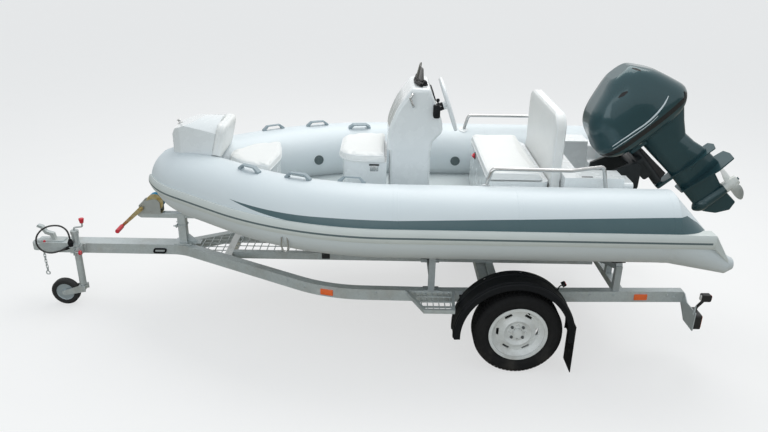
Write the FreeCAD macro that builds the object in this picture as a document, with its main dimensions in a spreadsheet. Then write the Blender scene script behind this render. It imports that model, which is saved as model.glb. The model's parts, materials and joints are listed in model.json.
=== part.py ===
import FreeCAD
import Part
import Sketcher
import math
import os

# A 3.75 m rigid inflatable boat with its outboard, standing on a road trailer with its jockey wheel down.
# Frame: +X to the bow and the coupling, +Y to port, +Z up, the ground at Z = 0. Millimetres and degrees.
# Every place along the boat and the trailer is measured ahead of the road axle, which lies at axle_x.

V = FreeCAD.Vector
doc = FreeCAD.newDocument("rib_boat")
sheet = doc.addObject("Spreadsheet::Sheet", "Sizes")

# The driving dimensions, which go into the sheet under the same names.
dimensions = {
    "axle_x": -846,  # the road axle, from the middle of the part's box
    "seat_gap": 0.3,  # between pieces that rest on each other
    "run_gap": 6,  # beside a moving piece
    "pin_gap": 0.05,  # round a pin or shaft, on the radius

    # Road wheels and axle
    "tyre_radius": 278,  # over the tread
    "tyre_width": 163,  # tyre section
    "tyre_bead": 168,  # radius where the tyre meets the rim
    "wheel_y": 797,  # middle plane of a road wheel
    "rim_lip": 182.5,  # radius over the rim's lip
    "rim_width": 142,  # rim over its lips
    "rim_wall": 4,
    "disc_inset": 30,  # wheel disc, in from the outer lip
    "stud_circle": 49,  # radius of the stud circle
    "stud_hole": 6.5,  # radius
    "hub_bore": 30,  # radius of the disc's middle hole
    "hub_radius": 29,
    "drum_radius": 64,  # hub flange behind the disc
    "cap_radius": 24,  # grease cap
    "spindle_radius": 15,  # stub axle
    "axle_tube": 60,  # square axle tube, over flats
    "axle_ahead": 150,  # axle tube, ahead of the wheel centres
    "arm_thick": 14,  # trailing arm
    "arm_run": 22,  # between the arm and the tyre

    # Mudguards
    "guard_radius": 366,  # inside radius
    "guard_wall": 5,
    "guard_ahead": 30,  # centre of the arch, ahead of the axle
    "guard_in": 75,  # inner edge from the wheel's middle plane
    "guard_out": 108,  # outer edge from it
    "guard_lip": 34,  # turned-down outer edge
    "guard_rib": 5,  # raised ribs
    "guard_foot": 436,  # height of the brackets

    # Trailer frame
    "rail_top": 465,  # top of the two long rails
    "rail_tall": 75,
    "rail_wide": 54,
    "rail_wall": 4,
    "rail_front": 3290,  # front end of the drawbar
    "rail_bend": 2280,  # where the rails part
    "rail_bend_radius": 300,
    "rail_shoulder": 1190,  # where the rails turn straight again
    "rail_shoulder_y": 633,
    "rail_shoulder_radius": 900,
    "rail_waist": 450,  # beside the step
    "rail_waist_y": 643,
    "rail_rear": -1090,  # rear end
    "rail_rear_y": 594,
    "keel_beam_y": 130,  # line of the two beams under the keel
    "keel_beam_wide": 40,
    "keel_beam_tall": 50,
    "keel_beam_rear": -640,
    "front_beam": 1924,
    "middle_beam": 90,
    "rear_beam": -720,
    "cross_beam": 50,  # square cross beams, over flats
    "mesh_wire": 5,
    "mesh_pitch": 50,
    "step_front": 705,  # side step, front end at the rail
    "step_nose": 592,  # front end at its outer edge
    "step_rear": 385,
    "step_bar": 25,  # frame bars

    # Hull supports
    "bunk_front": 940,
    "bunk_rear": 360,
    "bunk_y": 450,  # middle of a side bunk
    "bunk_wide": 75,
    "bunk_thick": 38,
    "bunk_post": 535,  # post of the side bunk
    "post_y": 660,
    "post_tube": 40,  # square posts and arms, over flats
    "post_top": 706,
    "bolster": -650,  # rear bolster, middle
    "bolster_wide": 80,
    "bolster_in": 300,  # inner end from the middle plane
    "bolster_out": 600,  # outer end
    "rest": 1245,  # short rests on the keel beams
    "rest_long": 56,

    # Rear lamps
    "lamp_plate": 5,
    "lamp_in": 690,  # inner side of the lamp box
    "lamp_wide": 120,
    "lamp_low": 300,
    "lamp_tall": 100,
    "lamp_deep": 48,
    "stalk_radius": 9,
    "stalk_top": 520,

    # Coupling, jockey wheel and winch
    "coupling_nose": 3381,
    "coupling_wide": 76,
    "coupling_tall": 62,
    "coupling_wall": 8,
    "ball_socket": 25.2,  # radius
    "ball_back": 46,  # socket centre, behind the nose
    "jockey_ahead": 3020,
    "jockey_y": 96,  # jockey tube, to port of the drawbar
    "jockey_tube": 24,  # outer tube radius
    "jockey_stem": 17,  # inner tube radius
    "jockey_tube_top": 580,
    "jockey_tube_foot": 162,
    "jockey_wheel_radius": 100,
    "jockey_wheel_wide": 46,
    "jockey_trail": 132,  # wheel, ahead of its tube
    "jockey_pin": 7,  # radius
    "fork_plate": 5,
    "winch_post": 2280,
    "winch_post_tube": 58,  # square post, over flats
    "winch_arm_top": 698,
    "winch_arm_tall": 38,
    "winch_arm_ahead": 305,  # arm, ahead of its post
    "winch_arm_back": 165,  # arm, behind its post
    "winch_drum_in": 135,  # drum, behind the arm's front end
    "winch_drum_up": 782,
    "winch_flange": 60,  # radius
    "winch_wound": 42,  # radius of the strap on its spool
    "winch_spool": 20,  # radius
    "winch_wide": 84,  # over the cheeks
    "winch_cheek": 4,
    "winch_shaft": 8,  # radius
    "strap_wide": 50,
    "strap_thick": 3,

    # Inflated collar
    "tube_radius": 220,
    "tube_y": 720,  # tube line beside the cockpit
    "tube_z": 964,
    "cone_start": -850,
    "cone_end": -1150,
    "cone_tip_radius": 58,
    "cone_tip": -1195,
    "shoulder_start": 800,  # where the collar starts to bend in
    "shoulder_radius": 1600,
    "shoulder_turn": 36,
    "shoulder_run": 415.7,  # straight run after the long bend
    "bow_radius": 500,
    "bow_turn": 26,
    "strake_reach": 241,  # outside of the rubbing strake, from the tube line
    "strake_tall": 84,
    "strake_z": 962,
    "strake_end": -1045,

    # Hull and deck
    "transom_aft": -700,  # aft face
    "transom_thick": 60,
    "transom_half": 500,
    "transom_top": 1150,  # beside the notch
    "notch_top": 1040,
    "notch_half": 330,
    "keel_z": 500,
    "chine_y": 520,
    "chine_z": 668,
    "hull_side": 640,  # half width above the chine
    "deck_z": 840,
    "deck_thick": 12,
    "eye_ahead": 2228,  # bow eye
    "eye_rise": 216,  # above the keel
    "eye_bore": 8,  # radius
    "eye_thick": 10,
    "well_long": 428,  # from the transom's aft face
    "well_wall": 12,
    "well_floor": 930,
    "well_top": 1180,

    # Deck fittings and seats
    "locker_front": 2262,
    "locker_long": 272,
    "locker_edge": 1325,  # height of the sides
    "locker_crown": 1405,  # height of the middle, aft
    "pad_lean": 14.5,  # bow backrest, off the upright
    "pad_thick": 60,
    "pad_half": 190,
    "pad_low": 1165,
    "pad_tall": 240,
    "bow_seat_back": 90,  # from the locker to the seat's nose
    "bow_seat_long": 312,
    "bow_seat_half": 285,
    "bow_seat_top": 1100,
    "bow_pad": 55,
    "seat_clear": 24,  # from the console's lower box to the seat behind it
    "seat_long": 312,
    "seat_half": 268,
    "seat_top": 1175,
    "seat_pad": 60,
    "seat_corner": 150,
    "console_wall": 8,
    "console_half": 215,
    "console_edge": 26,  # rounding of the moulding
    "console_aft": 542,  # lower box
    "console_long": 270,
    "console_seam": 1250,
    "pod_rise": 405,
    "screen_in": 113,  # screen, ahead of the lower box's aft face
    "screen_radius": 420,
    "screen_half": 175,
    "screen_tall": 118,
    "screen_thick": 5,
    "screen_lean": 14,
    "helm_back": 115,  # steering wheel centre, behind the lower box
    "helm_rise": 260,  # above the seam
    "helm_lean": 19,
    "helm_radius": 172,
    "helm_grip": 13,
    "bench_long": 390,
    "bench_clear": 10,  # from the backrest to the bench
    "bench_half": 450,
    "bench_top": 1130,
    "bench_pad": 60,
    "back_thick": 72,
    "back_half": 425,
    "back_top": 1560,
    "rail_tube": 12,  # stern rail tube radius
    "handle_long": 168,
    "handle_tall": 36,
    "handle_wide": 32,
    "handle_band": 9,

    # Outboard, upright, measured from its tilt tube
    "tilt_back": 137,  # behind the transom's aft face
    "tilt_up": 1137,
    "tilt_angle": 41,
    "tilt_tube": 11,  # radius
    "bracket_half": 150,
    "bracket_thick": 24,
    "king_back": 72,
    "king_radius": 22,
    "king_wall": 10,
    "seam_up": 192,
    "cowl_top": 575,
    "cowl_wall": 5,
    "pan_down": 108,
    "spray_down": 270,
    "plate_down": 402,
    "plate_thick": 9,
    "shaft_down": 592,
    "gear_nose": -150,
    "gear_tail": -402,
    "gear_radius": 46,
    "skeg_down": 762,
    "skeg_thick": 10,
    "blade_radius": 142,
    "blade_hub": 40,
    "blade_long": 100,
    "blade_pitch": 330,
    "prop_shaft": 10,
}


class Size(float):
    """A number that remembers the sheet formula it came from, so that a property can be bound to it."""

    def __new__(cls, value, formula):
        made = float.__new__(cls, value)
        made.formula = formula
        return made

    def __add__(self, other):
        return Size(float(self) + float(other), f"({words(self)} + {words(other)})")

    def __radd__(self, other):
        return Size(float(other) + float(self), f"({words(other)} + {words(self)})")

    def __sub__(self, other):
        return Size(float(self) - float(other), f"({words(self)} - {words(other)})")

    def __rsub__(self, other):
        return Size(float(other) - float(self), f"({words(other)} - {words(self)})")

    def __mul__(self, other):
        return Size(float(self) * float(other), f"({words(self)} * {words(other)})")

    __rmul__ = __mul__

    def __truediv__(self, other):
        return Size(float(self) / float(other), f"({words(self)} / {words(other)})")

    def __neg__(self):
        return Size(-float(self), f"(0 - {words(self)})")


def words(number):
    return getattr(number, "formula", None) or f"{float(number):.6f}"


def bind(thing, prop, number):
    """Give a property its size, bound to the sheet when the size came from there."""
    if isinstance(number, Size):
        thing.setExpression(prop, number.formula)
    elif "." in prop:
        thing.setExpression(prop, words(number))
    else:
        setattr(thing, prop, float(number))


class Sizes:
    """The driving dimensions by name."""


s = Sizes()
for row, (name, number) in enumerate(dimensions.items(), 1):
    sheet.set(f"A{row}", name)
    sheet.set(f"B{row}", str(number))
    sheet.setAlias(f"B{row}", name)
    setattr(s, name, Size(number, f"Sizes.{name}"))
doc.recompute()

# Places that follow from the sizes.
s.guard_inner = s.wheel_y - s.guard_in
s.guard_outer = s.wheel_y + s.guard_out
s.step_outer = s.guard_outer
s.winch_arm_front = s.winch_post + s.winch_arm_ahead
s.winch_arm_rear = s.winch_post - s.winch_arm_back
s.winch_drum_ahead = s.winch_arm_front - s.winch_drum_in
s.locker_rear = s.locker_front - s.locker_long
s.bow_seat_nose = s.locker_rear - s.bow_seat_back
s.bow_seat_rear = s.bow_seat_nose - s.bow_seat_long
s.console_front = s.console_aft + s.console_long
s.seat_rear = s.console_front + s.seat_clear
s.seat_front = s.seat_rear + s.seat_long
s.console_top = s.console_seam + s.pod_rise
s.screen_ahead = s.console_aft + s.screen_in
s.helm_ahead = s.console_aft - s.helm_back
s.helm_up = s.console_seam + s.helm_rise
s.well_front = s.transom_aft + s.well_long
s.bench_rear = s.well_front + s.back_thick + s.bench_clear
s.bench_front = s.bench_rear + s.bench_long
s.tilt_ahead = s.transom_aft - s.tilt_back


def station(ahead):
    """A place along X, given ahead of the road axle."""
    return s.axle_x + ahead


sub_parts = []


def keep(thing, label=None):
    """Register a sub-part under the name of its file."""
    if label:
        thing.Label = label
    sub_parts.append(thing)
    return thing


def feature(label, shape):
    made = doc.addObject("Part::Feature", label)
    made.Shape = shape
    return keep(made, label)


def place(thing, x=0, y=0, z=0):
    for axis, number in zip("xyz", (x, y, z)):
        bind(thing, f"Placement.Base.{axis}", number)
    return thing


def block(name, x, y, z, long, wide, tall):
    """A box from its low corner, with its sizes bound to the sheet."""
    made = doc.addObject("Part::Box", name)
    bind(made, "Length", long)
    bind(made, "Width", wide)
    bind(made, "Height", tall)
    return place(made, x, y, z)


def rod(name, x, y, z, radius, long, way=V(0, 0, 1)):
    """A cylinder from the centre of its first face, along way."""
    made = doc.addObject("Part::Cylinder", name)
    bind(made, "Radius", radius)
    bind(made, "Height", long)
    made.Placement.Rotation = FreeCAD.Rotation(V(0, 0, 1), way)
    return place(made, x, y, z)


def fused(label, *things):
    made = doc.addObject("Part::MultiFuse", label)
    made.Shapes = list(things)
    return made


def less(label, base, tool):
    made = doc.addObject("Part::Cut", label)
    made.Base = base
    made.Tool = tool
    return made


def grouped(label, *things):
    made = doc.addObject("Part::Compound", label)
    made.Links = list(things)
    return made


def box_tube(name, x, y, z, long, wide, tall, wall, along):
    """A square tube, open at both ends, from its low corner; along is its long axis."""
    outer = block(name + "_outer", x, y, z, long, wide, tall)
    skip = {axis: (0 if axis == along else wall) for axis in "xyz"}
    inner = block(name + "_inner", x + skip["x"], y + skip["y"], z + skip["z"],
                  long - 2 * skip["x"], wide - 2 * skip["y"], tall - 2 * skip["z"])
    return less(name, outer, inner)


def body(label):
    made = doc.addObject("PartDesign::Body", label)
    made.Label = label
    return made


def origin_of(part_body, role):
    return [item for item in part_body.Origin.OriginFeatures if item.Role == role][0]


def outline(part_body, plane, corners, offset=0):
    """A closed sketch through corners, each tied to the sheet by its two coordinates."""
    made = part_body.newObject("Sketcher::SketchObject", part_body.Label + "_outline")
    made.AttachmentSupport = [(origin_of(part_body, plane), "")]
    made.MapMode = "FlatFace"
    if isinstance(offset, Size):
        made.setExpression("AttachmentOffset.Base.z", offset.formula)
    else:
        made.AttachmentOffset = FreeCAD.Placement(V(0, 0, offset), FreeCAD.Rotation())
    count = len(corners)
    for at, (across, up) in enumerate(corners):
        to = corners[(at + 1) % count]
        made.addGeometry(Part.LineSegment(V(across, up, 0), V(to[0], to[1], 0)))
    for at in range(count):
        made.addConstraint(Sketcher.Constraint("Coincident", at, 2, (at + 1) % count, 1))
    for at, (across, up) in enumerate(corners):
        for kind, number in (("DistanceX", across), ("DistanceY", up)):
            index = made.addConstraint(Sketcher.Constraint(kind, -1, 1, at, 1, float(number)))
            if isinstance(number, Size):
                made.setExpression(f"Constraints[{index}]", number.formula)
    return made


def ring(part_body, plane, across, up, radius):
    """A sketch of one circle."""
    made = part_body.newObject("Sketcher::SketchObject", part_body.Label + "_ring")
    made.AttachmentSupport = [(origin_of(part_body, plane), "")]
    made.MapMode = "FlatFace"
    made.addGeometry(Part.Circle(V(across, up, 0), V(0, 0, 1), float(radius)))
    for kind, number in (("DistanceX", across), ("DistanceY", up)):
        index = made.addConstraint(Sketcher.Constraint(kind, -1, 1, 0, 3, float(number)))
        if isinstance(number, Size):
            made.setExpression(f"Constraints[{index}]", number.formula)
    index = made.addConstraint(Sketcher.Constraint("Radius", 0, float(radius)))
    if isinstance(radius, Size):
        made.setExpression(f"Constraints[{index}]", radius.formula)
    return made


def pad(part_body, sketch, long, midplane=False, reverse=False):
    made = part_body.newObject("PartDesign::Pad", part_body.Label + "_pad")
    made.Profile = sketch
    bind(made, "Length", long)
    made.Midplane = midplane
    made.Reversed = reverse
    sketch.Visibility = False
    return made


def pocket(part_body, sketch, long, midplane=False):
    made = part_body.newObject("PartDesign::Pocket", part_body.Label + "_pocket")
    made.Profile = sketch
    bind(made, "Length", long)
    made.Midplane = midplane
    return made


def revolved(part_body, sketch, angle=360, axis="H_Axis"):
    made = part_body.newObject("PartDesign::Revolution", part_body.Label + "_turned")
    made.Profile = sketch
    made.ReferenceAxis = (sketch, [axis])
    made.Angle = angle
    return made


def rounded(part_body, radius, test):
    """Fillet the edges of the body that pass the test."""
    doc.recompute()
    tip = part_body.Tip
    names = [f"Edge{at + 1}" for at, edge in enumerate(part_body.Shape.Edges) if test(edge)]
    made = part_body.newObject("PartDesign::Fillet", part_body.Label + "_round")
    made.Base = (tip, names)
    bind(made, "Radius", radius)
    part_body.Tip = made
    return made


def along(axis):
    """A test for straight edges that run along one axis."""
    unit = {"x": V(1, 0, 0), "y": V(0, 1, 0), "z": V(0, 0, 1)}[axis]

    def test(edge):
        if len(edge.Vertexes) != 2:
            return False
        run = edge.Vertexes[1].Point - edge.Vertexes[0].Point
        return run.Length > 1 and abs(run.normalize().dot(unit)) > 0.999
    return test


def path_edges(points, bend):
    """Straight runs joined by tangent arcs of one radius, or of one radius a corner."""
    count = len(points)
    bends = bend if isinstance(bend, (list, tuple)) else [bend] * (count - 2)
    edges = []
    start = points[0]
    for at in range(1, count - 1):
        before = (points[at - 1] - points[at]).normalize()
        after = (points[at + 1] - points[at]).normalize()
        turn = math.pi - before.getAngle(after)
        if turn < 0.002:
            continue
        setback = bends[at - 1] * math.tan(turn / 2)
        enter = points[at] + before * setback
        leave = points[at] + after * setback
        middle = (before + after).normalize()
        centre = points[at] + middle * (bends[at - 1] / math.cos(turn / 2))
        top = centre - middle * bends[at - 1]
        if (enter - start).Length > 0.01:
            edges.append(Part.LineSegment(start, enter).toShape())
        edges.append(Part.Arc(enter, top, leave).toShape())
        start = leave
    if (points[-1] - start).Length > 0.01:
        edges.append(Part.LineSegment(start, points[-1]).toShape())
    return edges


def round_bar(points, radius, bend):
    """A round bar or cord along a path of runs and arcs."""
    points = [V(*point) for point in points]
    edges = path_edges(points, bend)
    way = points[1] - points[0]
    hoop = Part.Wire([Part.Circle(points[0], way, float(radius)).toShape()])
    return Part.Wire(edges).makePipeShell([hoop], True, False)


def strip(points, half, bend, low, tall):
    """A flat bar or tube on edge, which follows a path in plan."""
    faces = []
    solids = []
    for edge in path_edges([V(x, y, low) for x, y in points], bend):
        first, last = edge.FirstParameter, edge.LastParameter
        ends = []
        for at in (first, last):
            here = edge.valueAt(at)
            way = edge.tangentAt(at)
            side = V(-way.y, way.x, 0).normalize() * float(half)
            ends.append((here - side, here + side))
        if edge.Curve.TypeId == "Part::GeomCircle":
            middle = (first + last) / 2
            here = edge.valueAt(middle)
            way = edge.tangentAt(middle)
            side = V(-way.y, way.x, 0).normalize() * float(half)
            right = Part.Arc(ends[0][0], here - side, ends[1][0]).toShape()
            left = Part.Arc(ends[1][1], here + side, ends[0][1]).toShape()
        else:
            right = Part.makeLine(ends[0][0], ends[1][0])
            left = Part.makeLine(ends[1][1], ends[0][1])
        wire = Part.Wire([right, Part.makeLine(ends[1][0], ends[1][1]), left,
                          Part.makeLine(ends[0][1], ends[0][0])])
        faces.append(Part.Face(wire))
    for face in faces:
        solids.append(face.extrude(V(0, 0, float(tall))))
    whole = solids[0].multiFuse(solids[1:]) if len(solids) > 1 else solids[0]
    return whole.removeSplitter()


def mirrored(shape):
    """The same piece on the starboard side."""
    return shape.mirror(V(0, 0, 0), V(0, 1, 0))


def rounded_box(x_low, x_high, half, z_low, z_high, corner, edge=0):
    """A moulding with rounded plan corners and, if asked, a rounded top edge."""
    made = Part.makeBox(x_high - x_low, 2 * half, z_high - z_low, V(x_low, -half, z_low))
    if corner:
        made = made.makeFillet(float(corner), [item for item in made.Edges if along("z")(item)])
    if edge:
        top = [item for item in made.Edges if all(abs(v.Z - z_high) < 0.01 for v in item.Vertexes)]
        made = made.makeFillet(float(edge), top)
    return made


def plate(corners, way, thick, bend=0):
    """A flat plate from its corner points, extruded along way; bend rounds its corners."""
    points = [V(*corner) for corner in corners]
    wire = Part.makePolygon(points + points[:1])
    made = Part.Face(wire).extrude(V(*way).normalize() * float(thick))
    if bend:
        unit = V(*way).normalize()
        ribs = [item for item in made.Edges
                if len(item.Vertexes) == 2
                and abs((item.Vertexes[1].Point - item.Vertexes[0].Point).normalize().dot(unit)) > 0.999]
        made = made.makeFillet(float(bend), ribs)
    return made

def grown_cut(made, tool):
    """What is left of a solid, largest piece first, once the tool is taken out."""
    pieces = made.cut(tool).Solids
    return max(pieces, key=lambda item: item.Volume)


def pair(label, shape):
    """A piece and its mirror image, as one sub-part of two solids."""
    return feature(label, Part.makeCompound([shape, mirrored(shape)]))


# The trailer's frame: two bent rails, side by side in the drawbar, which spread round the keel.
rail_line = [
    (station(s.rail_front), s.rail_wide / 2 + s.seat_gap),
    (station(s.rail_bend), s.rail_wide / 2 + s.seat_gap),
    (station(s.rail_shoulder), s.rail_shoulder_y),
    (station(s.rail_waist), s.rail_waist_y),
    (station(s.rail_rear), s.rail_rear_y),
]
rail_bends = [s.rail_bend_radius, s.rail_shoulder_radius, s.rail_shoulder_radius]
rail_low = s.rail_top - s.rail_tall


def rail_bar(half, low, tall):
    return strip(rail_line, half, rail_bends, low, tall)


port_rail_shape = rail_bar(s.rail_wide / 2, rail_low, s.rail_tall).cut(
    rail_bar(s.rail_wide / 2 - s.rail_wall, rail_low + s.rail_wall, s.rail_tall - 2 * s.rail_wall))
pair("side_rails", port_rail_shape)

port_rail_space = rail_bar(s.rail_wide / 2 + s.seat_gap, rail_low - s.rail_tall, 3 * s.rail_tall)
rail_space = Part.makeCompound([port_rail_space, mirrored(port_rail_space)])


def rail_y(x):
    """The rail's centre line at a place along X."""
    here = port_rail_space.common(Part.makeBox(0.1, 4000, 1, V(x, -1000, s.rail_top))).BoundBox
    return (here.YMin + here.YMax) / 2


keel_beam_low = s.rail_top - s.keel_beam_tall
keel_beam_inner = s.keel_beam_y - s.keel_beam_wide / 2
keel_beams = []
for side, sign in (("port", 1), ("starboard", -1)):
    keel_beams.append(box_tube(
        side + "_keel_beam", station(s.keel_beam_rear), sign * s.keel_beam_y - s.keel_beam_wide / 2, keel_beam_low,
        s.front_beam - s.keel_beam_rear - s.cross_beam / 2 - s.seat_gap, s.keel_beam_wide, s.keel_beam_tall,
        s.rail_wall, "x"))
keep(grouped("keel_beams", *keel_beams), "keel_beams")


def cross_beam(name, ahead, top):
    """A square beam across the frame, cut at its ends to the rails that it meets."""
    x = station(ahead)
    half = rail_y(x)
    made = box_tube(name + "_stock", x - s.cross_beam / 2, -half, top - s.cross_beam, s.cross_beam, 2 * half,
                    s.cross_beam, s.rail_wall, "y")
    tool = doc.addObject("Part::Feature", name + "_rails")
    tool.Shape = rail_space
    return less(name, made, tool)


keep(cross_beam("front_cross_beam", s.front_beam, s.rail_top), "front_cross_beam")
under_top = keel_beam_low - s.seat_gap
keep(grouped("cross_beams", cross_beam("middle_beam", s.middle_beam, under_top),
             cross_beam("rear_beam", s.rear_beam, under_top)), "cross_beams")


# Walkway mesh between the keel beams, and in the fork where the rails part.
def wires_along(x_low, x_high, half_at, top):
    """Welded mesh: cross wires on top of long wires, each cross wire as long as the space there."""
    wire = s.mesh_wire
    bars = []
    count = max(2, int((x_high - x_low) // s.mesh_pitch))
    for at in range(count):
        x = x_low + (at + 0.5) * (x_high - x_low) / count
        half = half_at(x)
        bars.append(Part.makeBox(wire, 2 * half, wire, V(x - wire / 2, -half, top - wire)))
    reach = half_at(x_low)
    lines = max(2, int(2 * reach // s.mesh_pitch))
    for at in range(lines):
        y = -reach + wire + at * (2 * reach - 2 * wire) / (lines - 1)
        ends = [x for x in (x_low + step * (x_high - x_low) / 40 for step in range(41)) if half_at(x) - wire >= abs(y)]
        if len(ends) < 3:
            continue
        bars.append(Part.makeBox(max(ends) - min(ends), wire, wire, V(min(ends), y - wire / 2, top - 2 * wire + 1)))
    return bars[0].multiFuse(bars[1:]).removeSplitter()


def fork_half(x):
    return rail_y(x) - s.rail_wide / 2 - 2 * s.seat_gap - s.mesh_wire


front_face = station(s.front_beam) - s.cross_beam / 2
walkway = wires_along(station(0) + 560, front_face - s.seat_gap, lambda x: keel_beam_inner - s.seat_gap, s.rail_top)
fork = wires_along(front_face + s.cross_beam + s.seat_gap, station(s.rail_bend) - 60, fork_half, s.rail_top)
feature("walkway_mesh", Part.makeCompound([walkway, fork]))


# Side steps: a tray of bars and mesh outside each rail, with a slanting front bar.
def side_step():
    top = float(s.rail_top)
    bar = s.step_bar
    inner = rail_y(station(s.step_rear)) + s.rail_wide / 2 - 20
    outline_points = [(station(s.step_rear), inner), (station(s.step_front), inner),
                      (station(s.step_nose), s.step_outer), (station(s.step_rear) + 18, s.step_outer)]
    outer = plate([(x, y, top - bar) for x, y in outline_points], (0, 0, 1), bar)
    flat = [item for item in outer.Faces if abs(item.normalAt(0, 0).z) > 0.9 and item.BoundBox.ZMin < top - 1]
    edge = flat[0].OuterWire
    hole = Part.Face(edge.makeOffset2D(-float(bar) * 0.7, 2)).extrude(V(0, 0, float(bar)))
    frame = outer.cut(hole)
    x_low = station(s.step_rear)
    long = station(s.step_front) - x_low
    bars = []
    for at in (0.3, 0.55, 0.8):
        y = inner + at * (s.step_outer - inner)
        bars.append(Part.makeBox(long, 12, 8, V(x_low, y - 6, top - 12)))
    count = int(long // (s.mesh_pitch * 0.7))
    for at in range(1, count):
        bars.append(Part.makeBox(s.mesh_wire, s.step_outer - inner, s.mesh_wire, V(x_low + at * long / count, inner, top - 16)))
    inside = outer.common(bars[0].multiFuse(bars[1:]))
    return frame.fuse(inside).cut(port_rail_space).removeSplitter()


pair("side_steps", max(side_step().Solids, key=lambda item: item.Volume))

# The torsion axle: a square tube under the rails, with a trailing arm and a stub axle at each end.
wheel_z = s.tyre_radius
axle_top = rail_low - s.seat_gap
arm_y = s.wheel_y - s.tyre_width / 2 - s.arm_run - s.arm_thick
axle_tube_x = station(s.axle_ahead)
hub_face = s.wheel_y + s.rim_width / 2 - s.disc_inset
drum_back = hub_face - 2 * s.rim_wall - s.seat_gap
axle_parts = [block("axle_tube", axle_tube_x - s.axle_tube / 2, -arm_y, axle_top - s.axle_tube,
                    s.axle_tube, 2 * arm_y, s.axle_tube)]
for side, sign in (("port", 1), ("starboard", -1)):
    arm = body(side + "_arm")
    arm_z = axle_top - s.axle_tube / 2
    sketch = outline(arm, "XZ_Plane", [
        (axle_tube_x + 34, arm_z - 34), (axle_tube_x + 34, arm_z + 30), (axle_tube_x - 30, arm_z + 30),
        (station(0) - 28, wheel_z + 22), (station(0) - 28, wheel_z - 28), (station(0) + 22, wheel_z - 28)])
    pad(arm, sketch, s.arm_thick)
    rounded(arm, s.arm_thick, along("y"))
    place(arm, 0, arm_y + s.arm_thick if sign > 0 else -arm_y, 0)
    axle_parts.append(arm)
    axle_parts.append(rod(side + "_spindle", station(0), sign * (arm_y + s.run_gap / 2), wheel_z, s.spindle_radius,
                          drum_back - arm_y - 2 * s.run_gap, V(0, sign, 0)))
keep(fused("axle", *axle_parts), "axle")


# Road wheels: steel rim with its pressed disc, slots and stud holes, and the tyre.
def tyre(label, sign):
    made = body(label)
    half = s.tyre_width / 2
    rim_half = s.rim_width / 2 - 9
    profile = [(-rim_half, s.tyre_bead), (-rim_half - 3, s.rim_lip + 6), (-half, s.tyre_radius - 48),
               (-half + 6, s.tyre_radius - 20), (-half + 22, s.tyre_radius - 3), (-half + 40, s.tyre_radius),
               (half - 40, s.tyre_radius), (half - 22, s.tyre_radius - 3), (half - 6, s.tyre_radius - 20),
               (half, s.tyre_radius - 48), (rim_half + 3, s.rim_lip + 6), (rim_half, s.tyre_bead)]
    revolved(made, outline(made, "YZ_Plane", profile))
    place(made, station(0), sign * s.wheel_y, wheel_z)
    return keep(made, label)


def polar(made, cut, name, count):
    """Repeat a cut round the wheel's axis."""
    pattern = made.newObject("PartDesign::PolarPattern", name)
    pattern.Originals = [cut]
    pattern.Axis = (origin_of(made, "Y_Axis"), [""])
    pattern.Angle = 360
    pattern.Occurrences = count
    made.Tip = pattern


def rim(name, sign):
    made = body(name)
    half = s.rim_width / 2
    wall = s.rim_wall
    bead = s.tyre_bead - s.seat_gap
    face = half - s.disc_inset
    profile = [(-half, s.rim_lip), (-half, bead - wall), (-half + 30, bead - wall), (-half + 42, bead - 22),
               (-half + 76, bead - 22), (face - 16, bead - wall - 3), (face - 24, bead - 24),
               (face - 10, s.stud_circle + 58), (face + 6, s.stud_circle + 36), (face - 8, s.stud_circle + 12),
               (face - 8, s.hub_bore), (face - 3, s.hub_bore), (face - 3, s.stud_circle + 14),
               (face + 12, s.stud_circle + 36), (face - 4, s.stud_circle + 62), (face - 12, bead - 30),
               (half - 16, bead - wall), (half, bead - wall), (half, s.rim_lip), (half - wall, s.rim_lip),
               (half - 9 + s.seat_gap, bead), (-half + 9 - s.seat_gap, bead), (-half + wall, s.rim_lip)]
    revolved(made, outline(made, "YZ_Plane", profile))
    polar(made, pocket(made, ring(made, "XZ_Plane", s.stud_circle, 0, s.stud_hole), 400, midplane=True),
          name + "_studs", 4)
    slot = outline(made, "XZ_Plane", [
        (s.stud_circle + 66, -26), (s.stud_circle + 82, -22), (s.stud_circle + 82, 22), (s.stud_circle + 66, 26)])
    polar(made, pocket(made, slot, 400, midplane=True), name + "_slots", 6)
    made.Placement.Rotation = FreeCAD.Rotation(V(0, 0, 1), 0 if sign > 0 else 180)
    return place(made, station(0), sign * s.wheel_y, wheel_z)


def hub(name, sign):
    """Hub flange with its four studs and grease cap, bored for the stub axle."""
    way = V(0, sign, 0)

    def turned(radius, start, long):
        return Part.makeCylinder(float(radius), float(long), V(station(0), sign * start, wheel_z), way)
    flange = turned(s.drum_radius, drum_back - 34, 34)
    flange = flange.makeChamfer(5, [item for item in flange.Edges if item.BoundBox.DiagonalLength > 2 * s.drum_radius])
    whole = flange.fuse([turned(s.hub_radius, drum_back, 26), turned(s.cap_radius, drum_back, 34)])
    for at in range(4):
        angle = math.radians(at * 90)
        stud = turned(s.stud_hole - 0.5, drum_back - 4, 26)
        stud.translate(V(math.cos(angle), 0, math.sin(angle)) * float(s.stud_circle))
        whole = whole.fuse(stud)
    made = doc.addObject("Part::Feature", name)
    made.Shape = whole.cut(turned(s.spindle_radius + s.pin_gap, drum_back - 35, 30))
    return made


for side, sign in (("port", 1), ("starboard", -1)):
    tyre(side + "_tyre", sign)
    keep(grouped(side + "_wheel", rim(side + "_rim", sign), hub(side + "_hub", sign)), side + "_wheel")


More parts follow.
